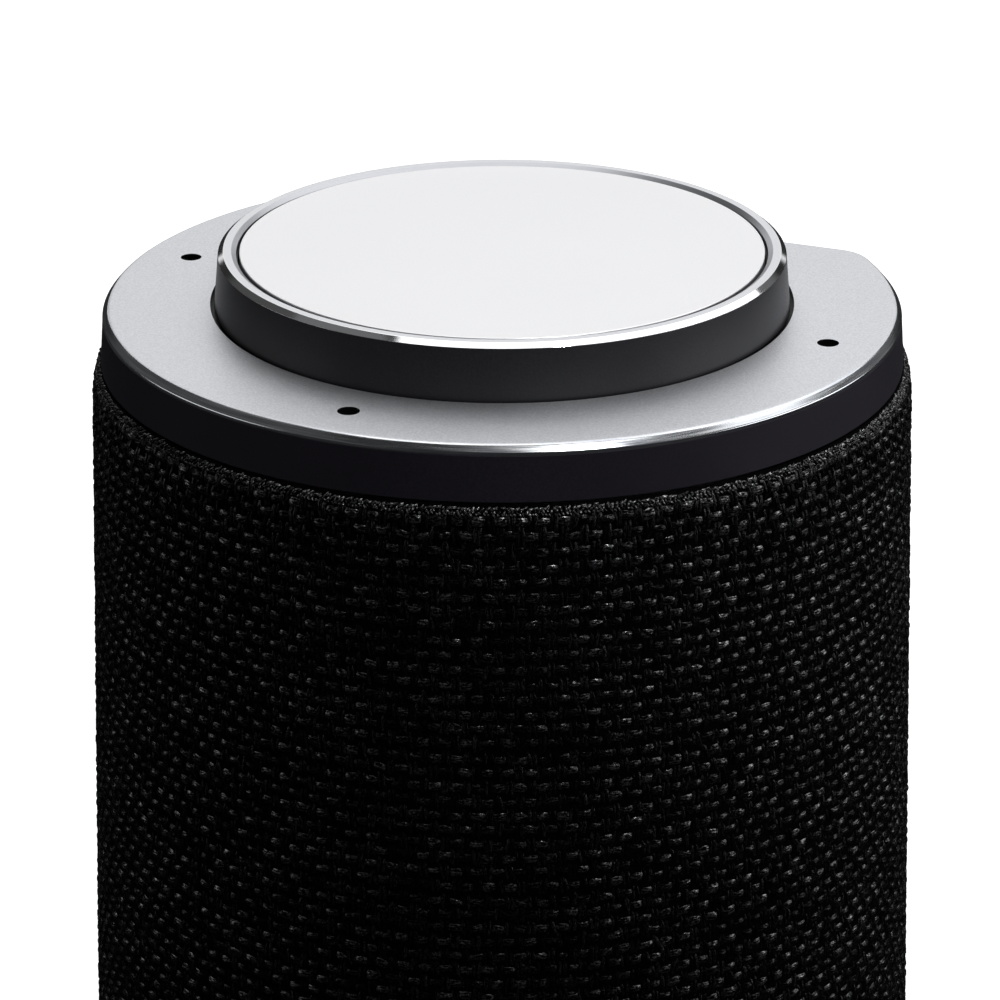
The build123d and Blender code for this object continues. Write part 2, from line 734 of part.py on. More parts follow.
SURROUND_CORNERS = [
    (13.5, 0.0),
    (15.0, 0.0),
    (16.8, 1.6),
    (18.6, 0.0),
    (21.5, 0.0),
    (21.5, 1.0),
    (19.2, 1.0),
    (16.8, 2.8),
    (14.4, 1.0),
    (13.5, 1.0),
]
RADIATOR_PLATE_CORNERS = [
    (0.0, -1.5),
    (10.0, -1.5),
    (13.5, 0.0),
    (13.5, 1.4),
    (0.0, 1.4),
]


def radiator_turned(side, points):
    """A solid turned round a passive radiator's axis, from (radius, distance outwards) corners."""
    middle = (side * ENCLOSURE_HALF_WIDTH, RADIATOR_Y, RADIATOR_Z)
    with BuildSketch(Plane(origin=middle, x_dir=(0, 0, 1), z_dir=(0, side, 0))) as profile:
        with BuildLine():
            Polyline(*points, close=True)
        make_face()
    revolve(profile.sketch, axis=Axis(middle, (side, 0, 0)))


for side, side_name in ((1, "right"), (-1, "left")):
    with BuildPart() as radiator_surround:
        radiator_turned(side, SURROUND_CORNERS)
    save(radiator_surround, f"{side_name}_radiator_surround")
    with BuildPart() as radiator_plate:
        radiator_turned(side, RADIATOR_PLATE_CORNERS)
    save(radiator_plate, f"{side_name}_radiator_plate")

# ---- Diffuser under the driver, base bay and its boards ----

POST_SPOTS = [place(44.5, angle) for angle in (36.0, 144.0, 215.0, 325.0)]
BAY_RADIUS = 50.5
BAY_FLAT = 34.5
DIFFUSER_TOP = BAY_TOP + 2.0

with BuildPart() as acoustic_diffuser:
    d_prism(BAY_TOP, DIFFUSER_TOP, BAY_RADIUS, BAY_FLAT)
    with BuildSketch(driver_plane(DIFFUSER_TOP)):
        with BuildLine():
            Line((0, 0), (30, 0))
            RadiusArc((30, 0), (3.0, 12.0), 34.0)
            Line((3.0, 12.0), (0, 12.6))
            Line((0, 12.6), (0, 0))
        make_face()
    revolve(axis=DRIVER_AXIS)
    with BuildSketch(Plane.XY.offset(DIFFUSER_TOP)):
        with Locations(POST_SPOTS):
            Circle(2.4)
    extrude(amount=ENCLOSURE_BOTTOM - DIFFUSER_TOP)

BASE_BOTTOM = 2.6
BASE_TOP = SLEEVE_BOTTOM + 1.0

with BuildPart() as foot_pad:
    d_loft([(0.0, 56.0, 34.6), (0.8, 56.8, 35.4), (BASE_BOTTOM, 56.8, 35.4)])

with BuildPart() as base_plate:
    d_loft([(BASE_BOTTOM, 58.0, 36.6), (3.2, 58.8, 37.2), (SLEEVE_BOTTOM, 58.8, 37.2)])
    d_prism(SLEEVE_BOTTOM, BASE_TOP, 56.5, 35.4)

TUB_FLOOR_TOP = BASE_TOP + 2.0

with BuildPart() as bay_tub:
    d_prism(BASE_TOP, BAY_TOP, BAY_RADIUS, BAY_FLAT)
    d_prism(TUB_FLOOR_TOP, BAY_TOP, BAY_RADIUS - WALL, BAY_FLAT - WALL, Mode.SUBTRACT)
    back_block(
        25.0,
        60.0,
        (0, 0),
        PANEL_WIDTH - 2.0,
        PANEL_HEIGHT - 0.5,
        PANEL_CORNER,
        Mode.SUBTRACT,
    )

BASE_SCREW_SPOTS = [place(42.0, angle) for angle in (25.0, 155.0, 225.0, 315.0)]
BASE_SCREW_RADIUS = 1.25
BASE_SCREW_TIP = BASE_BOTTOM + 0.6

with BuildPart() as base_screws:
    with BuildSketch(Plane.XY.offset(TUB_FLOOR_TOP)):
        with Locations(BASE_SCREW_SPOTS):
            Circle(2.6)
            RegularPolygon(1.1, 6, mode=Mode.SUBTRACT)
    extrude(amount=1.8)
    with BuildSketch(Plane.XY.offset(BASE_SCREW_TIP)):
        with Locations(BASE_SCREW_SPOTS):
            Circle(BASE_SCREW_RADIUS)
    extrude(amount=TUB_FLOOR_TOP + 0.2 - BASE_SCREW_TIP)

for piece in (base_plate, bay_tub):
    with piece:
        with BuildSketch(Plane.XY.offset(BASE_SCREW_TIP)):
            with Locations(BASE_SCREW_SPOTS):
                Circle(BASE_SCREW_RADIUS)
        extrude(amount=TUB_FLOOR_TOP - BASE_SCREW_TIP, mode=Mode.SUBTRACT)

BAY_MIDDLE_Y = -12.0
WEIGHT_TOP = TUB_FLOOR_TOP + 6.0
POWER_BOARD_BOTTOM = 22.0
POWER_BOARD_TOP = POWER_BOARD_BOTTOM + 1.6

with BuildPart() as base_weight:
    with BuildSketch(Plane.XY.offset(TUB_FLOOR_TOP)):
        with Locations((0, BAY_MIDDLE_Y)):
            RectangleRounded(50, 50, 6)
    extrude(amount=WEIGHT_TOP - TUB_FLOOR_TOP)

with BuildPart() as power_board:
    level_box((0, BAY_MIDDLE_Y, POWER_BOARD_BOTTOM), (56, 46, POWER_BOARD_TOP - POWER_BOARD_BOTTOM))
    with BuildSketch(Plane.XY.offset(WEIGHT_TOP)):
        with Locations((0, BAY_MIDDLE_Y)):
            with GridLocations(48, 38, 2, 2):
                Circle(2.2)
    extrude(amount=POWER_BOARD_BOTTOM - WEIGHT_TOP)

with BuildPart() as power_parts:
    with BuildSketch(Plane.XY.offset(POWER_BOARD_TOP)):
        with Locations((-14, -18), (-14, -4)):
            Circle(5.0)
    extrude(amount=14.0)
    level_box((10, -14, POWER_BOARD_TOP), (18, 18, 9))
    level_box((12, 4, POWER_BOARD_TOP), (14, 6, 5))

with BuildPart() as io_board:
    back_block(IO_BOARD_FACE - 1.6, IO_BOARD_FACE, (0, -1.5), 44.0, 38.0, 1.0)

with BuildPart() as ethernet_port:
    back_block(IO_BOARD_FACE, PANEL_FACE - 0.4, ETHERNET_PLACE, 16.0, 13.4)
    back_block(PANEL_FACE - 13.4, PANEL_FACE, ETHERNET_PLACE, 11.9, 7.2, mode=Mode.SUBTRACT)
    back_block(PANEL_FACE - 10.0, PANEL_FACE, LATCH_PLACE, 6.0, 3.0, mode=Mode.SUBTRACT)

with BuildPart() as usb_port:
    back_block(IO_BOARD_FACE, PANEL_FACE - 0.4, USB_PLACE, 9.2, 3.4, 1.5)
    back_block(PANEL_FACE - 6.6, PANEL_FACE, USB_PLACE, 8.5, 2.7, 1.2, mode=Mode.SUBTRACT)
    back_block(PANEL_FACE - 6.6, PANEL_FACE - 1.2, USB_PLACE, 6.7, 0.7)

with BuildPart() as dc_jack:
    back_block(IO_BOARD_FACE, PANEL_BACK - 0.2, DC_PLACE, 9.0, 10.6)
    back_round(PANEL_BACK - 0.2, PANEL_FACE - 0.3, DC_PLACE, 4.2)
    back_round(PANEL_FACE - 9.8, PANEL_FACE, DC_PLACE, 3.1, mode=Mode.SUBTRACT)
    back_round(PANEL_FACE - 9.8, PANEL_FACE - 1.2, DC_PLACE, 1.0)

AUDIO_BORE_RADIUS = 1.8

with BuildPart() as audio_jack:
    back_block(IO_BOARD_FACE, PANEL_BACK - 0.2, AUDIO_PLACE, 7.0, 7.0)
    back_round(PANEL_BACK - 0.2, PANEL_FACE - 0.3, AUDIO_PLACE, 2.8)
    back_round(PANEL_FACE - 14.3, PANEL_FACE, AUDIO_PLACE, AUDIO_BORE_RADIUS, mode=Mode.SUBTRACT)

KEY_CLEARANCE = 0.15
KEY_PROUD = 0.9
KEY_SWITCH_BACK = IO_BOARD_FACE + 4.0
KEYS = (
    ("power_button", POWER_KEY_PLACE, POWER_KEY_RADIUS),
    ("pair_button", PAIR_KEY_PLACE, PAIR_KEY_RADIUS),
)

with BuildPart() as rear_panel:
    back_block(PANEL_BACK, PANEL_FACE, (0, 0), PANEL_WIDTH - 0.2, PANEL_HEIGHT - 0.2, PANEL_CORNER)
    back_block(PANEL_BACK, PANEL_FACE, ETHERNET_PLACE, 16.2, 13.6, mode=Mode.SUBTRACT)
    back_block(PANEL_BACK, PANEL_FACE, USB_PLACE, 9.4, 3.6, 1.6, mode=Mode.SUBTRACT)
    back_round(PANEL_BACK, PANEL_FACE, DC_PLACE, 4.3, mode=Mode.SUBTRACT)
    back_round(PANEL_BACK, PANEL_FACE, AUDIO_PLACE, 2.9, mode=Mode.SUBTRACT)
    back_round(PANEL_BACK, PANEL_FACE, RESET_PLACE, 0.6, mode=Mode.SUBTRACT)
    for _, spot, radius in KEYS:
        back_round(PANEL_BACK, PANEL_FACE, spot, radius + KEY_CLEARANCE, mode=Mode.SUBTRACT)

for key_name, spot, radius in KEYS:
    with BuildPart() as key:
        back_round(PANEL_BACK - 1.4, PANEL_FACE + KEY_PROUD, spot, radius)
        back_round(PANEL_BACK - 1.4, PANEL_BACK - 0.1, spot, radius + 1.0)
        back_round(KEY_SWITCH_BACK + KEY_TRAVEL + 0.1, PANEL_BACK - 1.4, spot, 1.5)
        fillet(key.edges().group_by(Axis.Y)[-1], 0.4)
    save(key, key_name)

with BuildPart() as key_switches:
    for _, spot, _ in KEYS:
        back_block(IO_BOARD_FACE, KEY_SWITCH_BACK - 0.8, spot, 6.0, 6.0)
        back_round(KEY_SWITCH_BACK - 0.8, KEY_SWITCH_BACK, spot, 1.6)

# ---- Main board behind the enclosure ----

BOARD_STANDOFF = 1.2
BOARD_THICKNESS = 1.2
BOARD_FACE = ENCLOSURE_FLAT + BOARD_STANDOFF
MAIN_BOARD_Z = 112.0


def behind(start, thickness, centre, width, height):
    """A slab on the main board from its front face, thickness, middle (x, z), width and height."""
    front = Plane(origin=(centre[0], start, centre[1]), x_dir=(-1, 0, 0), z_dir=(0, 1, 0))
    with BuildSketch(front) as profile:
        Rectangle(width, height)
    extrude(profile.sketch, amount=thickness)


with BuildPart() as main_board:
    behind(BOARD_FACE, BOARD_THICKNESS, (0, MAIN_BOARD_Z), 56, 64)
    for corner_x in (-24, 24):
        for corner_z in (-28, 28):
            behind(ENCLOSURE_FLAT, BOARD_STANDOFF, (corner_x, MAIN_BOARD_Z + corner_z), 4, 4)

with BuildPart() as board_shields:
    behind(BOARD_FACE + BOARD_THICKNESS, 1.4, (-11, MAIN_BOARD_Z + 12), 24, 26)
    behind(BOARD_FACE + BOARD_THICKNESS, 1.4, (14, MAIN_BOARD_Z - 14), 20, 22)

RIBBON_HALF = 0.15
RIBBON_WIDTH = 10.0
RIBBON_X = 7.0
RIBBON_START = (IO_BOARD_FACE - 0.8, PANEL_CENTRE_Z + 17.5)
RIBBON_TURN = BAY_TOP - 1.0
RIBBON_END = (BOARD_FACE - 0.5, MAIN_BOARD_Z - 27.0)

with BuildPart() as io_ribbon:
    with BuildSketch(Plane(origin=(RIBBON_X, 0, 0), x_dir=(0, 1, 0), z_dir=(1, 0, 0))):
        with BuildLine():
            Polyline(
                (RIBBON_START[0] - RIBBON_HALF, RIBBON_START[1]),
                (RIBBON_START[0] + RIBBON_HALF, RIBBON_START[1]),
                (RIBBON_START[0] + RIBBON_HALF, RIBBON_TURN - RIBBON_HALF),
                (RIBBON_END[0] + RIBBON_HALF, RIBBON_TURN - RIBBON_HALF),
                (RIBBON_END[0] + RIBBON_HALF, RIBBON_END[1]),
                (RIBBON_END[0] - RIBBON_HALF, RIBBON_END[1]),
                (RIBBON_END[0] - RIBBON_HALF, RIBBON_TURN + RIBBON_HALF),
                (RIBBON_START[0] - RIBBON_HALF, RIBBON_TURN + RIBBON_HALF),
                close=True,
            )
        make_face()
    extrude(amount=RIBBON_WIDTH)

# The ribbon passes the diffuser through a slit.
with acoustic_diffuser:
    slit = (RIBBON_X + RIBBON_WIDTH / 2, RIBBON_END[0], BAY_TOP)
    level_box(slit, (RIBBON_WIDTH + 2.0, 1.4, 4.0), Mode.SUBTRACT)

with top_plate:
    add(plate_bosses.part)

FINISHED = {
    "top_plate": top_plate,
    "plate_screws": plate_screws,
    "top_band": top_band,
    "top_chassis": top_chassis,
    "mic_gaskets": mic_gaskets,
    "mic_boards": mic_boards,
    "mic_capsules": mic_capsules,
    "dial_bezel": dial_bezel,
    "dial_ring": dial_ring,
    "dial_hub": dial_hub,
    "dial_bearing": dial_bearing,
    "bearing_screws": bearing_screws,
    "bearing_retainer": bearing_retainer,
    "touch_disc": touch_disc,
    "touch_sensor": touch_sensor,
    "disc_carrier": disc_carrier,
    "disc_spring": disc_spring,
    "halo_guide": halo_guide,
    "halo_board": halo_board,
    "halo_leds": halo_leds,
    "dial_board": dial_board,
    "disc_switch": disc_switch,
    "encoder_body": encoder_body,
    "encoder_shaft": encoder_shaft,
    "encoder_gear": encoder_gear,
    "fabric_sleeve": fabric_sleeve,
    "grille_frame": grille_frame,
    "speaker_enclosure": speaker_enclosure,
    "woofer_basket": woofer_basket,
    "woofer_surround": woofer_surround,
    "woofer_cone": woofer_cone,
    "woofer_dust_cap": woofer_dust_cap,
    "voice_coil": voice_coil,
    "woofer_magnet": woofer_magnet,
    "woofer_yoke": woofer_yoke,
    "acoustic_diffuser": acoustic_diffuser,
    "foot_pad": foot_pad,
    "base_plate": base_plate,
    "bay_tub": bay_tub,
    "base_screws": base_screws,
    "base_weight": base_weight,
    "power_board": power_board,
    "power_parts": power_parts,
    "io_board": io_board,
    "ethernet_port": ethernet_port,
    "usb_port": usb_port,
    "dc_jack": dc_jack,
    "audio_jack": audio_jack,
    "rear_panel": rear_panel,
    "key_switches": key_switches,
    "main_board": main_board,
    "board_shields": board_shields,
    "io_ribbon": io_ribbon,
}

for name, piece in FINISHED.items():
    save(piece, name)
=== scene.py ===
"""Looks of the conference speakerphone: its woven sleeve, metal top, studio and camera.

Metres, in the CAD frame. +Z is up, the front faces -Y and the flat back faces +Y.
Sizes are written in millimetres and turned into metres by MM.
"""

import math

import bpy
import numpy as np
from mathutils import Euler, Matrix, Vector


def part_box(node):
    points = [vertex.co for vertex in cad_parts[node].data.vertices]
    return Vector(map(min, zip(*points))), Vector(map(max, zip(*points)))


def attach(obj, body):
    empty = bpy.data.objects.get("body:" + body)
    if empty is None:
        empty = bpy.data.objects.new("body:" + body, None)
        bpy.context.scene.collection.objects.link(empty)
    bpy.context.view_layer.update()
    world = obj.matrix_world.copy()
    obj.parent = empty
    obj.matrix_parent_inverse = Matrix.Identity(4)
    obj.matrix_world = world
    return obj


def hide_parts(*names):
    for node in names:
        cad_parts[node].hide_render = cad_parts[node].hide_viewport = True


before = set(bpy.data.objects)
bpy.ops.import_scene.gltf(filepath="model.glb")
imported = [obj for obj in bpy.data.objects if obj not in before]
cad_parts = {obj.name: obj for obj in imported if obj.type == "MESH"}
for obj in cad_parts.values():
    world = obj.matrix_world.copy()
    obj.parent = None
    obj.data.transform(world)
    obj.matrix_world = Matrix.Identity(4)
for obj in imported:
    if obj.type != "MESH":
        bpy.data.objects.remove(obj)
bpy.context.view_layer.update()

MM = 0.001
RNG = np.random.default_rng(7)

# ---- Sizes that the frame gives ----

DIAL_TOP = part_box("dial_bezel")[1].z
DIAL_RISE = 7.45 * MM  # the dial stands this far above the plate
PLATE_TOP = DIAL_TOP - DIAL_RISE
PLATE_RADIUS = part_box("top_plate")[1].x
PLATE_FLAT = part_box("top_plate")[1].y
SLEEVE_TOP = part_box("fabric_sleeve")[1].z
SLEEVE_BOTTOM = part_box("fabric_sleeve")[0].z
SLEEVE_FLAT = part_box("fabric_sleeve")[1].y
SLEEVE_SLOPE = 0.0317  # the sleeve leans out this much for each unit of depth
SLEEVE_TOP_RADIUS = 55.7 * MM
CORNER = 6.0 * MM  # the radius of the D's two rear corners

# ---- Mesh helpers ----

HELD = 1.15  # how far past a rounding its held points lie, as a share of its reach
LONGEST_REACH = 0.42  # a rounding takes no more than this share of an edge


def d_outline(share, radius, flat, corner):
    """Points and outward normals at shares of the D's length, from the front's middle, anticlockwise."""
    share, radius = np.broadcast_arrays(np.asarray(share, float), np.asarray(radius, float))
    middle_y = flat - corner
    middle_x = np.sqrt((radius - corner) ** 2 - middle_y**2)
    turn = np.arctan2(middle_y, middle_x)
    front = radius * (turn + math.pi / 2)
    bend = corner * (math.pi / 2 - turn)
    total = 2 * (front + bend + middle_x)
    along = (share % 1.0) * total
    ends = [front, front + bend, front + bend + 2 * middle_x, total - front]
    stretch = sum((along >= end).astype(int) for end in ends)
    into = along - np.select([stretch == k + 1 for k in range(4)], ends, 0.0)
    angle = np.select(
        [stretch == k for k in range(5)],
        [
            into / radius - math.pi / 2,
            turn + into / corner,
            math.pi / 2 + 0 * into,
            math.pi / 2 + into / corner,
            math.pi - turn + into / radius,
        ],
    )
    centre_x = np.select(
        [stretch == k for k in range(5)],
        [0 * into, middle_x, middle_x - into, -middle_x, 0 * into],
    )
    round_front = (stretch == 0) | (stretch == 4)
    centre_y = np.where(round_front, 0.0, middle_y)
    size = np.where(round_front, radius, corner)
    normals = np.stack([np.cos(angle), np.sin(angle)], axis=-1)
    points = np.stack([centre_x, centre_y], axis=-1) + size[..., None] * normals
    return points, normals, total


def d_ring(radius, flat, count=960):
    """For swept(): the D outline moved outwards by an offset."""
    share = np.arange(count) / count
    return lambda offset: d_outline(share, radius + offset, flat + offset, CORNER + offset)[0]


def circle(count=512, centre=(0.0, 0.0)):
    """For swept(): a circle whose radius is the offset."""
    angle = np.arange(count) * 2 * math.pi / count
    unit = np.stack([np.cos(angle), np.sin(angle)], axis=-1)
    return lambda radius: np.array(centre) + radius * unit


def soften(corners, radii, steps=4, closed=True):
    """A profile with each corner rounded off.

    A point held just past each end of a rounding keeps the smooth-shaded flats looking flat.
    """
    corners = [np.array(c, float) for c in corners]
    radii = np.broadcast_to(radii, len(corners))
    out = []
    for k, (corner, radius) in enumerate(zip(corners, radii)):
        if not closed and k in (0, len(corners) - 1):
            out.append(corner)
            continue
        back = corners[k - 1] - corner
        on = corners[(k + 1) % len(corners)] - corner
        reach_back = min(radius / np.linalg.norm(back), LONGEST_REACH)
        reach_on = min(radius / np.linalg.norm(on), LONGEST_REACH)
        start, end = corner + back * reach_back, corner + on * reach_on
        out.append(corner + back * reach_back * HELD)
        for t in np.linspace(0, 1, steps + 1):
            out.append((1 - t) ** 2 * start + 2 * t * (1 - t) * corner + t**2 * end)
        out.append(corner + on * reach_on * HELD)
    return out


def new_object(name, vertices, faces, sharp=40.0):
    """A smooth-shaded mesh object with edges over the angle kept sharp."""
    mesh = bpy.data.meshes.new(name)
    mesh.from_pydata([tuple(v) for v in vertices], [], faces)
    mesh.validate()
    mesh.polygons.foreach_set("use_smooth", [True] * len(mesh.polygons))
    mesh.set_sharp_from_angle(angle=math.radians(sharp))
    made = bpy.data.objects.new(name, mesh)
    bpy.context.scene.collection.objects.link(made)
    return made


def swept(name, ring_at, profile, closed=True, sharp=40.0):
    """A mesh swept round an outline.

    profile is a run of (offset, height) corners, anticlockwise seen from the side.
    """
    rings = [ring_at(offset) for offset, _ in profile]
    count = len(rings[0])
    vertices = [(*point, height) for ring, (_, height) in zip(rings, profile) for point in ring]
    faces = []
    for k in range(len(profile) if closed else len(profile) - 1):
        low, high = k * count, (k + 1) % len(profile) * count
        for i in range(count):
            j = (i + 1) % count
            faces.append((low + i, low + j, high + j, high + i))
    if not closed:
        faces.append(tuple(reversed(range(count))))
        faces.append(tuple(range((len(profile) - 1) * count, len(profile) * count)))
    return new_object(name, vertices, faces, sharp)


def cut(target, cutters, sharp=40.0):
    """The target with the cutters taken out of it; the cutters are removed."""
    for cutter in cutters:
        knife = target.modifiers.new("cut", "BOOLEAN")
        knife.operation = "DIFFERENCE"
        knife.solver = "EXACT"
        knife.object = cutter
    depsgraph = bpy.context.evaluated_depsgraph_get()
    depsgraph.update()
    mesh = bpy.data.meshes.new_from_object(target.evaluated_get(depsgraph))
    target.modifiers.clear()
    target.data = mesh
    mesh.set_sharp_from_angle(angle=math.radians(sharp))
    for cutter in cutters:
        bpy.data.objects.remove(cutter)
    return target


def place(radius, angle):
    """A point at that radius in millimetres and angle round the dial's axis."""
    return (radius * MM * math.cos(math.radians(angle)), radius * MM * math.sin(math.radians(angle)))


def millimetres(profile):
    return [(offset * MM, height) for offset, height in profile]


# ---- Material helpers ----


class Nodes:
    """A short way to write a node material."""

    def __init__(self, name):
        self.material = bpy.data.materials.new(name)
        self.material.use_nodes = True
        self.tree = self.material.node_tree
        self.shader = self.tree.nodes["Principled BSDF"]
        self.place = self.add("ShaderNodeTexCoord").outputs["Object"]

    def add(self, kind, **settings):
        node = self.tree.nodes.new(kind)
        for key, value in settings.items():
            setattr(node, key, value)
        return node

    def link(self, source, target):
        self.tree.links.new(source, target)

    def noise(self, scale, detail=3.0, roughness=0.6, vector=None):
        node = self.add("ShaderNodeTexNoise")
        node.inputs["Scale"].default_value = scale
        node.inputs["Detail"].default_value = detail
        node.inputs["Roughness"].default_value = roughness
        self.link(vector or self.place, node.inputs["Vector"])
        return node.outputs["Fac"]

    def stretched(self, x, y, z):
        node = self.add("ShaderNodeMapping")
        node.inputs["Scale"].default_value = (x, y, z)
        self.link(self.place, node.inputs["Vector"])
        return node.outputs["Vector"]

    def spread(self, value, low, high, start=0.3, end=0.7):
        node = self.add("ShaderNodeMapRange")
        self.link(value, node.inputs["Value"])
        for socket, number in zip(("From Min", "From Max", "To Min", "To Max"), (start, end, low, high)):
            node.inputs[socket].default_value = number
        return node.outputs["Result"]

    def maths(self, operation, first, second=None):
        node = self.add("ShaderNodeMath", operation=operation)
        for socket, value in zip(node.inputs, (first, second)):
            if isinstance(value, (int, float)):
                socket.default_value = value
            elif value is not None:
                self.link(value, socket)
        return node.outputs["Value"]

    def blend(self, factor, first, second):
        node = self.add("ShaderNodeMix", data_type="RGBA")
        self.link(factor, node.inputs["Factor"])
        sockets = [s for s in node.inputs if s.type == "RGBA"]
        for socket, value in zip(sockets, (first, second)):
            if isinstance(value, tuple):
                socket.default_value = (*value, 1.0)
            else:
                self.link(value, socket)
        return [s for s in node.outputs if s.type == "RGBA"][0]

    def mix(self, factor, first, second):
        """first where factor is 0, second where it is 1."""
        step = self.maths("MULTIPLY", factor, self.maths("SUBTRACT", second, first))
        return self.maths("ADD", first, step)

    def colour(self, value):
        self.link(value, self.shader.inputs["Base Color"])

    def set(self, **values):
        names = {"metal": "Metallic", "specular": "Specular IOR Level"}
        for key, value in values.items():
            self.shader.inputs[names[key]].default_value = value

    def rough(self, value):
        if isinstance(value, float):
            self.shader.inputs["Roughness"].default_value = value
        else:
            self.link(value, self.shader.inputs["Roughness"])

    def bump(self, height, strength, distance):
        node = self.add("ShaderNodeBump")
        node.inputs["Strength"].default_value = strength
        node.inputs["Distance"].default_value = distance
        self.link(height, node.inputs["Height"])
        self.link(node.outputs["Normal"], self.shader.inputs["Normal"])


def face_normal(m):
    """The true face normal's parts, for finishes that differ from face to face."""
    split = m.add("ShaderNodeSeparateXYZ")
    m.link(m.add("ShaderNodeNewGeometry").outputs["True Normal"], split.inputs["Vector"])
    return [split.outputs[k] for k in "XYZ"]


def place_parts(m):
    split = m.add("ShaderNodeSeparateXYZ")
    m.link(m.place, split.inputs["Vector"])
    return [split.outputs[k] for k in "XYZ"]


def blasted(m, tone, grain, contrast):
    """Bead-blasted and anodised aluminium: an even fine grain with faint cloudiness."""
    fine = m.noise(grain, 2.0, 0.7)
    light = tuple(min(1.0, c * (1 + contrast)) for c in tone)
    dark = tuple(c * (1 - contrast) for c in tone)
    return fine, m.blend(m.spread(fine, 0.0, 1.0), dark, light)


def plate_aluminium():
    """Blasted top and diamond-cut chamfer with fine cutting lines. Painted shade: the moat, the hub's hole
    and the microphone holes below the top face are coloured near black and made non-metallic.
    """
    m = Nodes("plate_aluminium")
    fine, tint = blasted(m, (0.655, 0.665, 0.695), 3800.0, 0.13)
    cloud = m.noise(90.0, 2.0, 0.5)
    x, y, z = place_parts(m)
    up = face_normal(m)[2]
    square = m.maths("ADD", m.maths("MULTIPLY", x, x), m.maths("MULTIPLY", y, y))
    reach = m.maths("SQRT", square)
    # Painted shade: below the top face and inside the moat's reach, away from the flat back, the colour goes
    # near black for the shade in the recesses.
    below = m.maths("LESS_THAN", z, PLATE_TOP - 0.10 * MM)
    inside = m.maths("LESS_THAN", reach, 50.0 * MM)
    near_flat = m.maths("GREATER_THAN", y, PLATE_FLAT - 1.5 * MM)
    painted_recess_shade = m.maths("MULTIPLY", m.maths("MULTIPLY", below, inside), m.maths("SUBTRACT", 1.0, near_flat))
    cut_face = m.maths("LESS_THAN", up, 0.93)
    lines = m.noise(1.0, 3.0, 0.7, m.stretched(90.0, 90.0, 4200.0))
    cut_tint = m.blend(m.spread(lines, 0.0, 1.0), (0.52, 0.55, 0.61), (0.96, 0.98, 1.0))
    m.colour(m.blend(painted_recess_shade, m.blend(cut_face, tint, cut_tint), (0.006, 0.006, 0.007)))
    blast_rough = m.maths("ADD", m.spread(fine, 0.42, 0.50), m.spread(cloud, -0.01, 0.01))
    cut_rough = m.spread(lines, 0.12, 0.24)
    m.rough(m.mix(cut_face, blast_rough, cut_rough))
    # The painted shade in the recesses is also made non-metallic, so it stays dark.
    m.link(m.maths("SUBTRACT", 1.0, painted_recess_shade), m.shader.inputs["Metallic"])
    m.set(specular=0.15)
    m.bump(m.mix(cut_face, fine, m.maths("MULTIPLY", lines, 0.4)), 0.35, 0.03 * MM)
    return m.material


def disc_aluminium():
    m = Nodes("disc_aluminium")
    fine, tint = blasted(m, (0.87, 0.87, 0.885), 4200.0, 0.03)
    cloud = m.noise(60.0, 2.0, 0.5)
    m.colour(tint)
    m.rough(m.maths("ADD", m.spread(fine, 0.37, 0.42), m.spread(cloud, -0.015, 0.015)))
    m.set(metal=1.0)
    m.bump(fine, 0.35, 0.012 * MM)
    return m.material


def turned_metal(name, tone, rough, line_scale, depth):
    """Diamond-cut metal: bright, with very fine lines that run round the edge."""
    m = Nodes(name)
    lines = m.noise(1.0, 3.0, 0.65, m.stretched(60.0, 60.0, line_scale))
    cloud = m.noise(220.0, 2.0, 0.5)
    light = tuple(min(1.0, c * 1.02) for c in tone)
    dark = tuple(c * 0.88 for c in tone)
    m.colour(m.blend(m.spread(lines, 0.0, 1.0), dark, light))
    m.rough(m.maths("ADD", m.spread(lines, rough, rough + 0.08), m.spread(cloud, -0.02, 0.02)))
    m.set(metal=1.0)
    m.bump(lines, 0.25, depth)
    return m.material


def bezel_aluminium():
    """A satin land and inner bevel, with a mirror-bright outer chamfer."""
    m = Nodes("bezel_aluminium")
    fine, tint = blasted(m, (0.73, 0.74, 0.765), 5200.0, 0.06)
    lines = m.noise(1.0, 3.0, 0.65, m.stretched(60.0, 60.0, 9000.0))
    x, y, _ = place_parts(m)
    across, along, up = face_normal(m)
    outwards = m.maths("ADD", m.maths("MULTIPLY", x, across), m.maths("MULTIPLY", y, along))
    land = m.maths("GREATER_THAN", up, 0.985)
    inner = m.maths("MULTIPLY", m.maths("LESS_THAN", outwards, 0.0), m.maths("SUBTRACT", 1.0, land))
    m.colour(m.blend(inner, m.blend(land, (0.90, 0.91, 0.93), tint), (0.50, 0.51, 0.54)))
    softer = m.maths("ADD", m.maths("MULTIPLY", land, 0.26), m.maths("MULTIPLY", inner, 0.24))
    m.rough(m.maths("ADD", softer, m.spread(lines, 0.05, 0.10)))
    m.set(metal=1.0)
    m.bump(m.maths("ADD", lines, fine), 0.18, 0.006 * MM)
    return m.material


def moulded(name, tone, rough, grain=2600.0, depth=0.02 * MM, specular=0.35, vary=0.25):
    """Moulded or painted plastic with a spark-eroded grain."""
    m = Nodes(name)
    fine = m.noise(grain, 3.0, 0.6)
    cloud = m.noise(70.0, 2.0, 0.5)
    light = tuple(min(1.0, c * (1 + vary)) for c in tone)
    dark = tuple(c * (1 - vary) for c in tone)
    clouded = m.maths("MULTIPLY", fine, m.spread(cloud, 0.8, 1.2))
    m.colour(m.blend(m.spread(clouded, 0.0, 1.0), dark, light))
    m.rough(m.spread(fine, rough - 0.05, rough + 0.07))
    m.set(specular=specular)
    m.bump(fine, 0.4, depth)
    return m.material


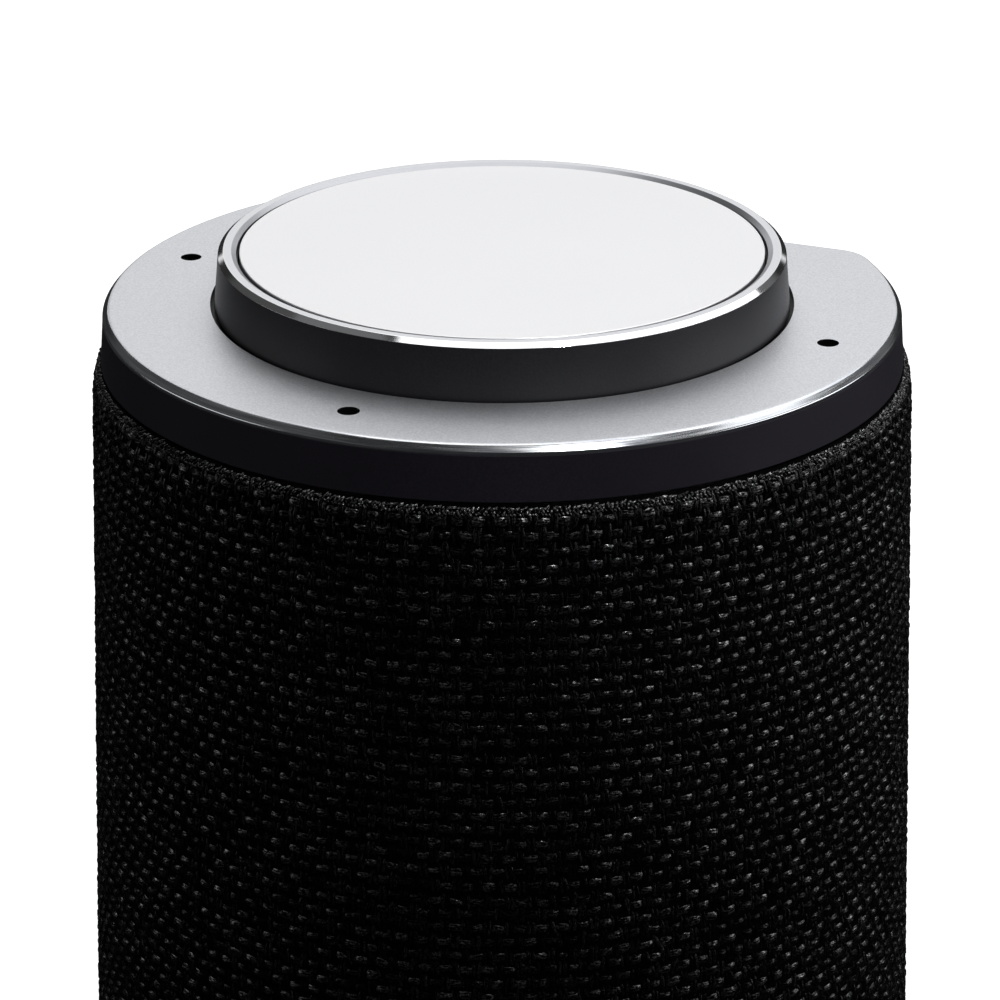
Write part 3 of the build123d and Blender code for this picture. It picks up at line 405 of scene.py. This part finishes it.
def yarn(name, dark, bright, glint):
    """Black multi-strand yarn: each float has its own depth of black and fine strands. Fibres that catch the
    light get a painted glint, a lighter base colour, together with real extra specular shine.
    """
    m = Nodes(name)
    strand = m.add("ShaderNodeAttribute", attribute_name="strand").outputs["Vector"]
    split = m.add("ShaderNodeSeparateXYZ")
    m.link(strand, split.inputs["Vector"])
    along, across, own = (split.outputs[k] for k in "XYZ")
    joined = m.add("ShaderNodeCombineXYZ")
    m.link(m.maths("MULTIPLY", along, 0.55), joined.inputs["X"])
    m.link(m.maths("MULTIPLY", across, 3.2), joined.inputs["Y"])
    m.link(m.maths("MULTIPLY", own, 37.0), joined.inputs["Z"])
    strands = m.noise(1.2, 2.0, 0.55, joined.outputs["Vector"])
    fibres = m.noise(3600.0, 3.0, 0.75)
    mixed = m.maths("ADD", m.maths("MULTIPLY", strands, 0.55), m.maths("MULTIPLY", fibres, 0.45))
    # Painted glint: where the fibres catch the light the base colour is lightened, as a painted highlight.
    # The same mask also raises the real specular shine.
    painted_glint_speck = m.maths("POWER", m.spread(mixed, 0.0, 1.0, 0.45, 0.62), 1.8)
    painted_glint_and_gloss = m.maths("MULTIPLY", painted_glint_speck, m.spread(own, 0.10, 1.0, 0.0, 1.0))
    m.colour(m.blend(painted_glint_and_gloss, dark, bright))
    m.rough(m.spread(fibres, 0.18, 0.31))
    shine = m.maths("ADD", m.maths("MULTIPLY", painted_glint_and_gloss, glint), 0.022)
    m.link(shine, m.shader.inputs["Specular IOR Level"])
    m.bump(mixed, 0.6, 0.12 * MM)
    return m.material


# In these three yarns the second colour is a painted glint: the lighter base colour of the fibres that catch
# the light.
def fabric_black():
    return yarn("fabric_black", (0.0007, 0.0007, 0.0010), (0.064, 0.064, 0.070), 4.0)


def warp_yarn():
    return yarn("warp_yarn", (0.0006, 0.0006, 0.0009), (0.036, 0.036, 0.040), 1.5)


# The hem's glint colour is much lighter still: a painted highlight along its rope and stitches.
def hem_yarn():
    return yarn("hem_yarn", (0.0008, 0.0008, 0.0011), (0.340, 0.340, 0.355), 6.5)


def cloth_base():
    m = Nodes("cloth_base")
    fine = m.noise(6000.0, 3.0, 0.7)
    m.colour(m.blend(m.spread(fine, 0.0, 1.0), (0.0006, 0.0006, 0.0008), (0.002, 0.002, 0.0024)))
    m.rough(m.spread(fine, 0.75, 0.95))
    m.set(specular=0.02)
    m.bump(fine, 0.7, 0.05 * MM)
    return m.material


def circuit_board():
    """Green solder mask with fine tracks and rows of pads."""
    m = Nodes("circuit_board")
    tracks = m.add("ShaderNodeTexBrick")
    tracks.inputs["Scale"].default_value = 420.0
    tracks.inputs["Mortar Size"].default_value = 0.06
    m.link(m.place, tracks.inputs["Vector"])
    fine = m.noise(1800.0)
    mask = m.blend(m.spread(fine, 0.0, 1.0), (0.004, 0.05, 0.022), (0.008, 0.085, 0.035))
    m.colour(m.blend(tracks.outputs["Fac"], mask, (0.05, 0.20, 0.09)))
    m.rough(m.spread(fine, 0.25, 0.4))
    m.set(specular=0.5)
    m.bump(tracks.outputs["Fac"], 0.3, 0.02 * MM)
    return m.material


def component():
    return moulded("component", (0.02, 0.02, 0.022), 0.5, 3000.0, 0.01 * MM)


def led_white():
    m = Nodes("led_white")
    fine = m.noise(2500.0)
    m.colour(m.blend(m.spread(fine, 0.0, 1.0), (0.75, 0.72, 0.60), (0.85, 0.84, 0.78)))
    m.rough(m.spread(fine, 0.25, 0.4))
    return m.material


def brushed_steel():
    return turned_metal("steel", (0.55, 0.55, 0.56), 0.28, 2500.0, 0.01 * MM)


def ferrite():
    return moulded("ferrite", (0.03, 0.03, 0.032), 0.55, 1500.0, 0.03 * MM)


def port_metal():
    return turned_metal("port_metal", (0.66, 0.66, 0.65), 0.28, 1800.0, 0.01 * MM)


def cone_paper():
    """Pressed paper with loose fibres."""
    m = Nodes("cone_paper")
    fibres = m.noise(900.0, 5.0, 0.75)
    m.colour(m.blend(m.spread(fibres, 0.0, 1.0), (0.012, 0.012, 0.013), (0.045, 0.044, 0.042)))
    m.rough(m.spread(fibres, 0.75, 0.92))
    m.bump(fibres, 0.6, 0.06 * MM)
    return m.material


def soft_rubber():
    return moulded("soft_rubber", (0.016, 0.016, 0.017), 0.75, 1400.0, 0.05 * MM, 0.25)


def copper_former():
    """Enamelled copper wire wound close round a former."""
    m = Nodes("copper_former")
    wave = m.add("ShaderNodeTexWave", bands_direction="Z")
    wave.inputs["Scale"].default_value = 1100.0
    m.link(m.place, wave.inputs["Vector"])
    m.colour(m.blend(wave.outputs["Fac"], (0.30, 0.09, 0.03), (0.75, 0.33, 0.15)))
    m.rough(m.spread(wave.outputs["Fac"], 0.25, 0.45, 0.0, 1.0))
    m.set(metal=0.9)
    m.bump(wave.outputs["Fac"], 0.6, 0.05 * MM)
    return m.material


def ribbon():
    """A flat flexible cable with printed conductors."""
    m = Nodes("ribbon")
    wave = m.add("ShaderNodeTexWave", bands_direction="X")
    wave.inputs["Scale"].default_value = 320.0
    m.link(m.place, wave.inputs["Vector"])
    conductors = m.spread(wave.outputs["Fac"], 0.0, 1.0, 0.4, 0.6)
    m.colour(m.blend(conductors, (0.55, 0.30, 0.08), (0.72, 0.46, 0.18)))
    m.rough(m.spread(m.noise(1500.0), 0.3, 0.45))
    m.bump(wave.outputs["Fac"], 0.3, 0.03 * MM)
    return m.material


def smoked_guide():
    """Smoked acrylic that carries light up round the disc."""
    m = Nodes("smoked_guide")
    fine = m.noise(1800.0)
    m.colour(m.blend(m.spread(fine, 0.0, 1.0), (0.012, 0.012, 0.014), (0.03, 0.03, 0.034)))
    m.rough(m.spread(fine, 0.3, 0.45))
    m.set(specular=0.4)
    return m.material


MATERIALS = {
    "plate_aluminium": plate_aluminium(),
    "disc_aluminium": disc_aluminium(),
    "bezel_aluminium": bezel_aluminium(),
    "dial_black": moulded("dial_black", (0.021, 0.021, 0.025), 0.38, 4200.0, 0.008 * MM, 0.35),
    "band_black": moulded("band_black", (0.0165, 0.0138, 0.0208), 0.55, 3600.0, 0.02 * MM, 0.25),
    "fabric_black": fabric_black(),
    "moulded_black": moulded("moulded_black", (0.014, 0.014, 0.015), 0.5),
    "moulded_grey": moulded("moulded_grey", (0.12, 0.12, 0.125), 0.5),
    "gear_white": moulded("gear_white", (0.70, 0.69, 0.64), 0.4, vary=0.06),
    "smoked_guide": smoked_guide(),
    "circuit_board": circuit_board(),
    "component": component(),
    "led_white": led_white(),
    "steel": brushed_steel(),
    "ferrite": ferrite(),
    "port_metal": port_metal(),
    "cone_paper": cone_paper(),
    "soft_rubber": soft_rubber(),
    "copper_former": copper_former(),
    "ribbon": ribbon(),
}


def dress(piece, slot, body, *nodes, material=None):
    """Gives a new piece its finish, its body and the CAD nodes that it stands for."""
    piece.data.materials.clear()
    piece.data.materials.append(material or MATERIALS[slot])
    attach(piece, body)
    if nodes:
        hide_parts(*nodes)
    return piece


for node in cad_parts.values():
    for held in node.material_slots:
        held.material = MATERIALS[held.material.name.split(".")[0]]

# ---- Dial: bezel, ring and disc ----

LIP_RADIUS, LAND_INNER, LAND_OUTER, CHAMFER_FOOT = 35.85, 36.5, 37.6, 38.35
DISC_RADIUS = 35.45
DISC_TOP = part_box("touch_disc")[1].z
DISC_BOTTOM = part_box("touch_disc")[0].z
LIP_END = DIAL_TOP - 0.45 * MM
CHAMFER_END = DIAL_TOP - 0.6 * MM
BEZEL_SEAT = DIAL_TOP - 0.75 * MM
BEZEL_STEP = (CHAMFER_FOOT - 0.25, DIAL_TOP - 0.85 * MM)

bezel_profile = [
    (LIP_RADIUS, BEZEL_SEAT),
    (LAND_OUTER - 0.2, BEZEL_SEAT),
    BEZEL_STEP,
    (CHAMFER_FOOT, CHAMFER_END),
    (LAND_OUTER, DIAL_TOP),
    (LAND_INNER, DIAL_TOP),
    (LIP_RADIUS, LIP_END),
]
bezel = swept("dial_bezel_turned", circle(768), soften(millimetres(bezel_profile), 0.05 * MM))
dress(bezel, "bezel_aluminium", "dial", "dial_bezel")

FOOT_RADIUS, FOOT_BOTTOM, HUB_RADIUS, WALL_INNER = 39.0, PLATE_TOP - 0.2 * MM, 34.4, 37.2
ring_profile = [
    (HUB_RADIUS, FOOT_BOTTOM),
    (FOOT_RADIUS, FOOT_BOTTOM),
    (CHAMFER_FOOT, CHAMFER_END),
    BEZEL_STEP,
    (LAND_OUTER - 0.2, BEZEL_SEAT),
    (LAND_INNER, BEZEL_SEAT),
    (LAND_INNER, DIAL_TOP - 1.9 * MM),
    (WALL_INNER, DIAL_TOP - 1.9 * MM),
    (WALL_INNER, FOOT_BOTTOM + 1.3 * MM),
    (HUB_RADIUS, FOOT_BOTTOM + 1.3 * MM),
]
ring = swept("dial_ring_turned", circle(768), soften(millimetres(ring_profile), 0.04 * MM, 2))
dress(ring, "dial_black", "dial", "dial_ring")

disc_profile = [
    (0.5, DISC_BOTTOM),
    (DISC_RADIUS, DISC_BOTTOM),
    (DISC_RADIUS, DISC_TOP),
    (0.5, DISC_TOP),
]
disc = swept("touch_disc_satin", circle(768), soften(millimetres(disc_profile), 0.16 * MM, 4, False), False)
dress(disc, "disc_aluminium", "disc", "touch_disc")

# ---- Top plate and band ----

PLATE_BOTTOM = PLATE_TOP - 1.3 * MM
CHAMFER_IN, CHAMFER_DROP = 0.8, 0.9
MOAT_RADIUS, MOAT_DEPTH, HUB_HOLE = 39.55, 0.9, 35.0
MIC_CIRCLE, MIC_ANGLES, MIC_RADIUS = 46.4, (0.0, 182.0, 268.0), 1.45

plate_profile = [
    (-3.0, PLATE_BOTTOM),
    (0.0, PLATE_BOTTOM),
    (0.0, PLATE_TOP - CHAMFER_DROP * MM),
    (-CHAMFER_IN, PLATE_TOP),
    (-3.0, PLATE_TOP),
]


def drill(radius, low, high, centre=(0.0, 0.0), count=96):
    """A cutter with an upright round wall."""
    return swept("drill", circle(count, centre), [(radius * MM, low), (radius * MM, high)], closed=False)


# The plate starts as a full D, and the round moat, the hub's hole and the microphones are bored out of it.
full = d_ring(PLATE_RADIUS, PLATE_FLAT)
plate_edge = soften(millimetres(plate_profile), np.array([0.0, 0.05, 0.14, 0.30, 0.0]) * MM, 6, False)
plate = swept("top_plate_blasted", full, plate_edge, closed=False)
bores = [
    drill(MOAT_RADIUS, PLATE_TOP - MOAT_DEPTH * MM, PLATE_TOP + 5 * MM, count=512),
    drill(HUB_HOLE, PLATE_BOTTOM - 5 * MM, PLATE_TOP + 5 * MM, count=512),
]
for angle in MIC_ANGLES:
    centre = place(MIC_CIRCLE, angle)
    bores.append(drill(MIC_RADIUS, PLATE_BOTTOM - 5 * MM, PLATE_TOP + 5 * MM, centre, 64))
plate = cut(plate, bores, 25.0)
dress(plate, "plate_aluminium", "housing", "top_plate")

BAND_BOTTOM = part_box("top_band")[0].z
BAND_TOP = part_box("top_band")[1].z
BAND_FLARE, BAND_WALL = 0.45, 1.2
band_profile = [
    (-BAND_WALL, BAND_BOTTOM),
    (BAND_FLARE, BAND_BOTTOM),
    (0.0, BAND_TOP),
    (-BAND_WALL, BAND_TOP),
]
band = swept("top_band_moulded", full, soften(millimetres(band_profile), 0.12 * MM))
dress(band, "band_black", "housing", "top_band")

# ---- Woven sleeve ----

CLOTH_DEPTH = 0.30  # the base cloth lies this far below the sleeve's surface
SLEEVE_INNER = 1.3
ROW_PITCH = 2.0
COLUMNS = 252
WINDOW_HALF_WIDTH, WINDOW_HALF_HEIGHT, WINDOW_CORNER = 23.0, 21.0, 4.0
WINDOW_MIDDLE = (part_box("rear_panel")[0].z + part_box("rear_panel")[1].z) / 2
WINDOW_STITCHES = 250


def roll_in(height):
    """How far the sleeve's surface turns in near its top and bottom edges."""
    top = SLEEVE_TOP - height
    bottom = height - SLEEVE_BOTTOM
    shoulder = np.interp(top / MM, [0.0, 0.5, 1.2, 2.2, 3.4], [0.95, 0.68, 0.38, 0.14, 0.0])
    foot = np.interp(bottom / MM, [0.0, 1.0], [0.7, 0.0])
    return (shoulder + foot) * MM


def on_sleeve(share, height, proud):
    """Points on the sleeve at shares of its girth and at heights, standing proud of its base surface."""
    radius = SLEEVE_TOP_RADIUS + SLEEVE_SLOPE * (SLEEVE_TOP - height)
    points, normals, _ = d_outline(share, radius, SLEEVE_FLAT, CORNER)
    points = points + normals * (proud - roll_in(height))[..., None]
    return np.concatenate([points, height[..., None]], axis=-1)


def girth(height):
    radius = SLEEVE_TOP_RADIUS + SLEEVE_SLOPE * (SLEEVE_TOP - height)
    return d_outline(0.0, radius, SLEEVE_FLAT, CORNER)[2]


def floats(name, share, height, length, width, lift, tilt, along=4, across=3, sink=0.10):
    """Short arched stretches of yarn on the sleeve, each a small crowned patch.

    share and height place their middles; length, width and lift are in millimetres, tilt in degrees.
    """
    number = len(share)
    u, v = np.meshgrid(np.linspace(-1, 1, along + 1), np.linspace(-1, 1, across + 1), indexing="ij")
    u, v = u.ravel()[None, :], v.ravel()[None, :]
    half_length = (length * MM / 2)[:, None]
    half_width = (width * MM / 2)[:, None] * (1 - 0.18 * u**2)
    turn = np.radians(tilt)[:, None]
    side = u * half_length * np.cos(turn) - v * half_width * np.sin(turn)
    rise = u * half_length * np.sin(turn) + v * half_width * np.cos(turn)
    crown = np.sqrt(np.clip(1 - (0.98 * v) ** 2, 0, 1)) * (1 - np.abs(u) ** 2.6)
    proud = (lift * MM)[:, None] * crown - (CLOTH_DEPTH + sink * (u**2 > 0.99)) * MM
    middle = height[:, None] + rise
    around = share[:, None] + side / girth(height)[:, None]
    vertices = on_sleeve(around, middle, proud).reshape(-1, 3)
    step = across + 1
    corner = (np.arange(along)[:, None] * step + np.arange(across)[None, :]).ravel()
    quad = np.stack([corner, corner + step, corner + step + 1, corner + 1], axis=-1)
    faces = (np.arange(number)[:, None, None] * (along + 1) * step + quad[None]).reshape(-1, 4)
    made = new_object(name, vertices, faces.tolist(), 180.0)
    strand = made.data.attributes.new("strand", "FLOAT_VECTOR", "POINT")
    own = np.repeat(RNG.random(number), u.size)
    laid = np.stack(
        [np.tile(u.ravel(), number) * np.repeat(length, u.size), np.tile(v.ravel(), number), own], axis=-1
    )
    strand.data.foreach_set("vector", laid.astype(np.float32).ravel())
    return made


def base_cloth():
    """The closed shell of plain cloth under the yarns, with the panel's window cut out."""
    count = 960
    share = np.arange(count) / count
    heights = [SLEEVE_BOTTOM, *np.linspace(SLEEVE_BOTTOM + 1 * MM, SLEEVE_TOP - 1 * MM, 24)]
    heights = np.array([*heights, SLEEVE_TOP - 0.7 * MM, SLEEVE_TOP - 0.3 * MM, SLEEVE_TOP])
    rings = [on_sleeve(share, np.full(count, h), np.full(count, -CLOTH_DEPTH * MM)) for h in heights]
    for h in heights[::-1]:
        radius = SLEEVE_TOP_RADIUS + SLEEVE_SLOPE * (SLEEVE_TOP - h) - SLEEVE_INNER * MM
        points = d_outline(share, radius, SLEEVE_FLAT - SLEEVE_INNER * MM, CORNER - SLEEVE_INNER * MM)[0]
        rings.append(np.column_stack([points, np.full(count, h)]))
    faces = []
    for k in range(len(rings)):
        low, high = k * count, (k + 1) % len(rings) * count
        for i in range(count):
            j = (i + 1) % count
            faces.append((low + i, low + j, high + j, high + i))
    return new_object("sleeve_cloth", np.concatenate(rings), faces, 50.0)


def rounded_rectangle(half_width, half_height, corner, count=160):
    """Points round an upright rounded rectangle, as (side, up) from its middle, anticlockwise."""
    centre_x, centre_y = half_width - corner, half_height - corner
    bend = corner * math.pi / 2
    out = []
    for along in np.arange(count) / count * 4 * (centre_x + centre_y + bend):
        for k, (side, up) in enumerate([(1, -1), (1, 1), (-1, 1), (-1, -1)]):
            straight = 2 * (centre_y if k % 2 == 0 else centre_x)
            if along < bend + straight:
                turned = min(along, bend)
                angle = (k - 1) * math.pi / 2 + turned / corner
                cos, sin = math.cos(angle), math.sin(angle)
                x = side * centre_x + corner * cos - (along - turned) * sin
                y = up * centre_y + corner * sin + (along - turned) * cos
                out.append((x, y))
                break
            along -= bend + straight
    return np.array(out)


def round_window(margin, count=160):
    """The rear panel's window outline, grown by a margin in millimetres."""
    half_width, half_height = WINDOW_HALF_WIDTH + margin, WINDOW_HALF_HEIGHT + margin
    return rounded_rectangle(half_width * MM, half_height * MM, (WINDOW_CORNER + margin) * MM, count)


def window_cutter():
    """A block through the back wall at the rear panel's window."""
    outline = round_window(0.0)
    near, far = 25 * MM, 60 * MM
    vertices = [(x, near, WINDOW_MIDDLE + z) for x, z in outline]
    vertices += [(x, far, WINDOW_MIDDLE + z) for x, z in outline]
    count = len(outline)
    faces = [tuple(range(count)), tuple(reversed(range(count, 2 * count)))]
    faces += [(i, i + count, (i + 1) % count + count, (i + 1) % count) for i in range(count)]
    return new_object("window_cutter", vertices, faces)


def outside_window(share, height, margin):
    """True where a float's middle is clear of the window."""
    points = on_sleeve(share, height, 0 * height)
    beside = np.abs(points[:, 0]) - (WINDOW_HALF_WIDTH + margin) * MM
    beyond = np.abs(height - WINDOW_MIDDLE) - (WINDOW_HALF_HEIGHT + margin) * MM
    return (points[:, 1] < 0) | (beside > 0) | (beyond > 0)


cloth = cut(base_cloth(), [window_cutter()], 50.0)
dress(cloth, "fabric_black", "housing", "fabric_sleeve", material=cloth_base())

FIRST_ROW = SLEEVE_TOP - 2.00 * MM  # the first row of the weave lies just under the hem
ROWS = int((FIRST_ROW - SLEEVE_BOTTOM - 1.2 * MM) / (ROW_PITCH * MM)) + 1
row, column = np.meshgrid(np.arange(ROWS), np.arange(COLUMNS), indexing="ij")
row, column = row.ravel(), column.ravel()
cell_share = column / COLUMNS
row_shift, row_phase = RNG.normal(0.0, 0.09, ROWS), RNG.uniform(0.0, 2 * math.pi, (ROWS, 2))
once_round = 2 * math.pi * cell_share
wander = np.sin(5 * once_round + row_phase[row, 0]) + np.sin(13 * once_round + row_phase[row, 1])
cell_height = FIRST_ROW - (row * ROW_PITCH - row_shift[row] - 0.05 * wander) * MM
column_drift = (RNG.normal(0.0, 0.05, COLUMNS)[column] + RNG.normal(0.0, 0.05, ROWS)[row]) / COLUMNS
cell_share = cell_share + column_drift
clear = outside_window(cell_share, cell_height, 1.45)
is_weft = ((row + column) % 2 == 0) & clear
is_warp = ((row + column) % 2 == 1) & clear


def jitter(size, number):
    return RNG.normal(0.0, size, number)


def weft_yarns():
    """A level float in every other cell, long enough to dip under its neighbours."""
    share, height = cell_share[is_weft], cell_height[is_weft]
    number = len(share)
    pitch = girth(height) / MM / COLUMNS
    return floats(
        "sleeve_weft",
        share + jitter(0.05, number) * pitch * MM / girth(height),
        height + jitter(0.08, number) * MM,
        pitch * (1.54 + jitter(0.12, number)),
        1.16 + jitter(0.12, number),
        0.36 + jitter(0.05, number),
        jitter(4.5, number),
    )


def warp_yarns():
    """Two upright strands side by side in each cell between the weft's floats."""
    share, height = cell_share[is_warp], cell_height[is_warp]
    pitch = girth(height) / MM / COLUMNS
    apart = 0.23 * pitch * MM / girth(height)
    share = np.concatenate([share - apart, share + apart])
    height = np.concatenate([height, height])
    number = len(share)
    return floats(
        "sleeve_warp",
        share + jitter(0.03, number) / COLUMNS,
        height + jitter(0.07, number) * MM,
        2.65 + jitter(0.20, number),
        0.52 + jitter(0.06, number),
        0.30 + jitter(0.05, number),
        90.0 + jitter(7.0, number),
        3,
        2,
    )


def hem_yarns():
    """A rope-like edge with tight rows of slanted stitches, at the top, at the foot and round the window."""
    share, height, length, width, lift, tilt = [], [], [], [], [], []
    rows = (  # in from the edge, how many, length, width, lift, tilt and shift along the row
        (0.46, 560, 0.80, 0.30, 0.42, 14.0, 0.0),
        (0.78, 620, 0.56, 0.26, 0.38, 48.0, 0.5),
        (1.10, 620, 0.52, 0.26, 0.36, -46.0, 0.0),
    )
    for edge, inwards in ((SLEEVE_TOP, -MM), (SLEEVE_BOTTOM, MM)):
        for down, count, long, wide, high, lean, shift in rows:
            share.append((np.arange(count) + shift + jitter(0.16, count)) / count)
            height.append(edge + inwards * (down + jitter(0.06, count)))
            length.append(long + jitter(0.10, count))
            width.append(wide + jitter(0.04, count))
            lift.append(high + jitter(0.06, count))
            tilt.append(lean + jitter(13.0, count))
    window_rows = ((0.42, 0.90, 0.34, 0.42, 12.0), (0.80, 0.62, 0.30, 0.38, 48.0))
    for beyond, long, wide, high, lean in window_rows:
        count = WINDOW_STITCHES
        outline = round_window(beyond, count)
        run = np.roll(outline, -1, axis=0) - outline
        height.append(WINDOW_MIDDLE + outline[:, 1])
        share.append(0.5 - outline[:, 0] / girth(height[-1]))
        length.append(long + jitter(0.10, count))
        width.append(wide + jitter(0.04, count))
        lift.append(high + jitter(0.05, count))
        tilt.append(np.degrees(np.arctan2(run[:, 1], -run[:, 0])) + lean + jitter(10.0, count))
    joined = [np.concatenate(values) for values in (share, height, length, width, lift, tilt)]
    return floats("sleeve_hem", *joined, 3, 2)


yarns = [weft_yarns(), warp_yarns(), hem_yarns()]
for woven, finish in zip(yarns, (None, warp_yarn(), hem_yarn())):
    dress(woven, "fabric_black", "housing", material=finish)

girth(np.array((SLEEVE_TOP + SLEEVE_BOTTOM) / 2)).item()

# ---- Studio ----

HEADING = math.radians(22.6)  # the camera stands this far round to the right of the front
LOOK_DOWN = math.radians(22.87)
CAMERA_BACK, CAMERA_RISE, CAMERA_SIDE = 489.3 * MM, 169.0 * MM, -0.29 * MM
LENS, SENSOR = 137.74, 36.0  # millimetres
OVERHEAD, BACK_WALL, RIGHT_EDGE, LEFT_EDGE = 1.5, 0.90, 2.2, 0.85  # brightness of the soft boxes
FRONT_GLOW, LEFT_GLOW, RIGHT_LOW, LEFT_LOW, EVERYWHERE = 0.16, 0.14, 0.13, 0.065, 0.024  # of the glows

ahead = Vector((-math.sin(HEADING), math.cos(HEADING), 0.0))
rightwards = Vector((math.cos(HEADING), math.sin(HEADING), 0.0))


def make_camera():
    data = bpy.data.cameras.new("camera")
    data.lens = LENS
    data.sensor_width = SENSOR
    data.clip_start = 0.01
    data.clip_end = 50.0
    camera = bpy.data.objects.new("camera", data)
    bpy.context.scene.collection.objects.link(camera)
    target = Vector((0.0, 0.0, DIAL_TOP))
    stand = rightwards * CAMERA_SIDE - ahead * CAMERA_BACK
    camera.location = target + stand + Vector((0, 0, CAMERA_RISE))
    camera.rotation_euler = Euler((math.pi / 2 - LOOK_DOWN, 0.0, HEADING))
    bpy.context.scene.camera = camera


def make_floor():
    """A plain pale floor: white to the camera, and quiet in what the object reflects."""
    size, count = 6.0, 8
    steps = np.linspace(-size, size, count + 1)
    vertices = [(x, y, 0.0) for y in steps for x in steps]
    faces = []
    for j in range(count):
        for i in range(count):
            low = j * (count + 1) + i
            faces.append((low, low + 1, low + count + 2, low + count + 1))
    floor = new_object("floor", vertices, faces)
    m = Nodes("floor_paper")
    nodes, links = m.tree.nodes, m.tree.links
    fine = m.noise(300.0)
    m.colour(m.blend(m.spread(fine, 0.0, 1.0), (0.78, 0.78, 0.78), (0.82, 0.82, 0.82)))
    m.rough(0.9)
    m.shader.inputs["Emission Color"].default_value = (1, 1, 1, 1)
    m.shader.inputs["Emission Strength"].default_value = 0.75
    quiet = nodes.new("ShaderNodeBsdfDiffuse")
    quiet.inputs["Color"].default_value = (0.035, 0.035, 0.038, 1)
    chosen = nodes.new("ShaderNodeMixShader")
    links.new(nodes.new("ShaderNodeLightPath").outputs["Is Camera Ray"], chosen.inputs["Fac"])
    links.new(quiet.outputs[0], chosen.inputs[1])
    links.new(m.shader.outputs[0], chosen.inputs[2])
    links.new(chosen.outputs[0], nodes["Material Output"].inputs["Surface"])
    floor.data.materials.append(m.material)


def make_world():
    """Soft studio surroundings, each soft box a region of directions round the object.

    A box overhead and one on the back wall light the metal; two narrow ones at the sides edge the dark
    parts, and faint glows fill in. All else is nearly black, and the camera itself sees white.
    """
    world = bpy.data.worlds.new("studio")
    bpy.context.scene.world = world
    world.use_nodes = True
    nodes, links = world.node_tree.nodes, world.node_tree.links
    direction = nodes.new("ShaderNodeTexCoord").outputs["Generated"]

    def along(vector):
        node = nodes.new("ShaderNodeVectorMath")
        node.operation = "DOT_PRODUCT"
        links.new(direction, node.inputs[0])
        node.inputs[1].default_value = vector
        return node.outputs["Value"]

    def ramp(value, start, end, low=0.0, high=1.0):
        node = nodes.new("ShaderNodeMapRange")
        node.interpolation_type = "SMOOTHSTEP"
        links.new(value, node.inputs["Value"])
        for socket, number in zip(("From Min", "From Max", "To Min", "To Max"), (start, end, low, high)):
            node.inputs[socket].default_value = number
        return node.outputs["Result"]

    def maths(operation, first, second):
        node = nodes.new("ShaderNodeMath")
        node.operation = operation
        for socket, value in zip(node.inputs, (first, second)):
            if isinstance(value, (int, float)):
                socket.default_value = value
            else:
                links.new(value, socket)
        return node.outputs["Value"]

    def band(value, low, high, soft=0.02):
        return maths("MULTIPLY", ramp(value, low - soft, low + soft), ramp(value, high + soft, high - soft))

    def product(*factors):
        total = factors[0]
        for factor in factors[1:]:
            total = maths("MULTIPLY", total, factor)
        return total

    up, back, side = along((0, 0, 1)), along(ahead), along(rightwards)
    above = maths("MAXIMUM", up, 0.001)
    behind = maths("MAXIMUM", back, 0.001)
    side_up = maths("DIVIDE", side, above)
    back_up = maths("DIVIDE", back, above)
    overhead = product(band(side_up, -0.41, 1.49), band(back_up, -0.18, 1.42), OVERHEAD)
    side_back = maths("DIVIDE", side, behind)
    up_back = maths("DIVIDE", up, behind)
    back_wall = product(band(side_back, -0.50, 0.50, 0.04), band(up_back, 0.10, 0.85, 0.03), BACK_WALL)
    right_edge = product(ramp(side, 0.86, 0.92), band(up, -0.05, 0.34, 0.04), RIGHT_EDGE)
    left_edge = product(ramp(side, -0.90, -0.94), band(up, 0.0, 0.34, 0.04), LEFT_EDGE)
    in_front = product(ramp(back, -0.22, -0.34), ramp(side, -0.30, 0.10))
    front_glow = product(in_front, band(up, 0.72, 0.95, 0.06), FRONT_GLOW)
    left_glow = product(band(side_up, -0.92, -0.44), band(back_up, 0.0, 0.8), LEFT_GLOW)
    right_low = product(ramp(side, 0.50, 0.58), ramp(up, 0.05, 0.2), RIGHT_LOW)
    left_low = product(ramp(side, -0.50, -0.60), ramp(up, 0.05, 0.2), LEFT_LOW)
    total = EVERYWHERE
    for part in (overhead, back_wall, right_edge, left_edge, front_glow, left_glow, right_low, left_low):
        total = maths("MAXIMUM", part, total)
    seen = nodes.new("ShaderNodeLightPath").outputs["Is Camera Ray"]
    total = maths("MAXIMUM", total, seen)
    backdrop = nodes["Background"]
    links.new(total, backdrop.inputs["Strength"])
    backdrop.inputs["Color"].default_value = (1.0, 1.0, 1.0, 1.0)


def make_spot(name, side, front, up, aim, watts, angle, size):
    """A soft spotlight, placed and aimed in millimetres from the middle of the dial's top.

    side is to the camera's right, front is towards the camera, and up is up.
    """
    data = bpy.data.lights.new(name, "SPOT")
    data.energy, data.shadow_soft_size = watts, size * MM
    data.spot_size, data.spot_blend = math.radians(angle), 1.0
    lamp = bpy.data.objects.new(name, data)
    bpy.context.scene.collection.objects.link(lamp)
    lamp.location = (rightwards * side - ahead * front) * MM + Vector((0, 0, DIAL_TOP + up * MM))
    target = (rightwards * aim[0] - ahead * aim[1]) * MM + Vector((0, 0, DIAL_TOP + aim[2] * MM))
    lamp.rotation_euler = (target - lamp.location).to_track_quat("-Z", "Y").to_euler()


make_camera()
make_floor()
make_world()
make_spot("weave_light", 200.0, 372.0, 471.0, (28.0, 54.0, 19.0), 6.4, 14.0, 30.0)
bpy.context.scene.view_settings.view_transform = "Standard"
bpy.context.scene.view_settings.look = "None"
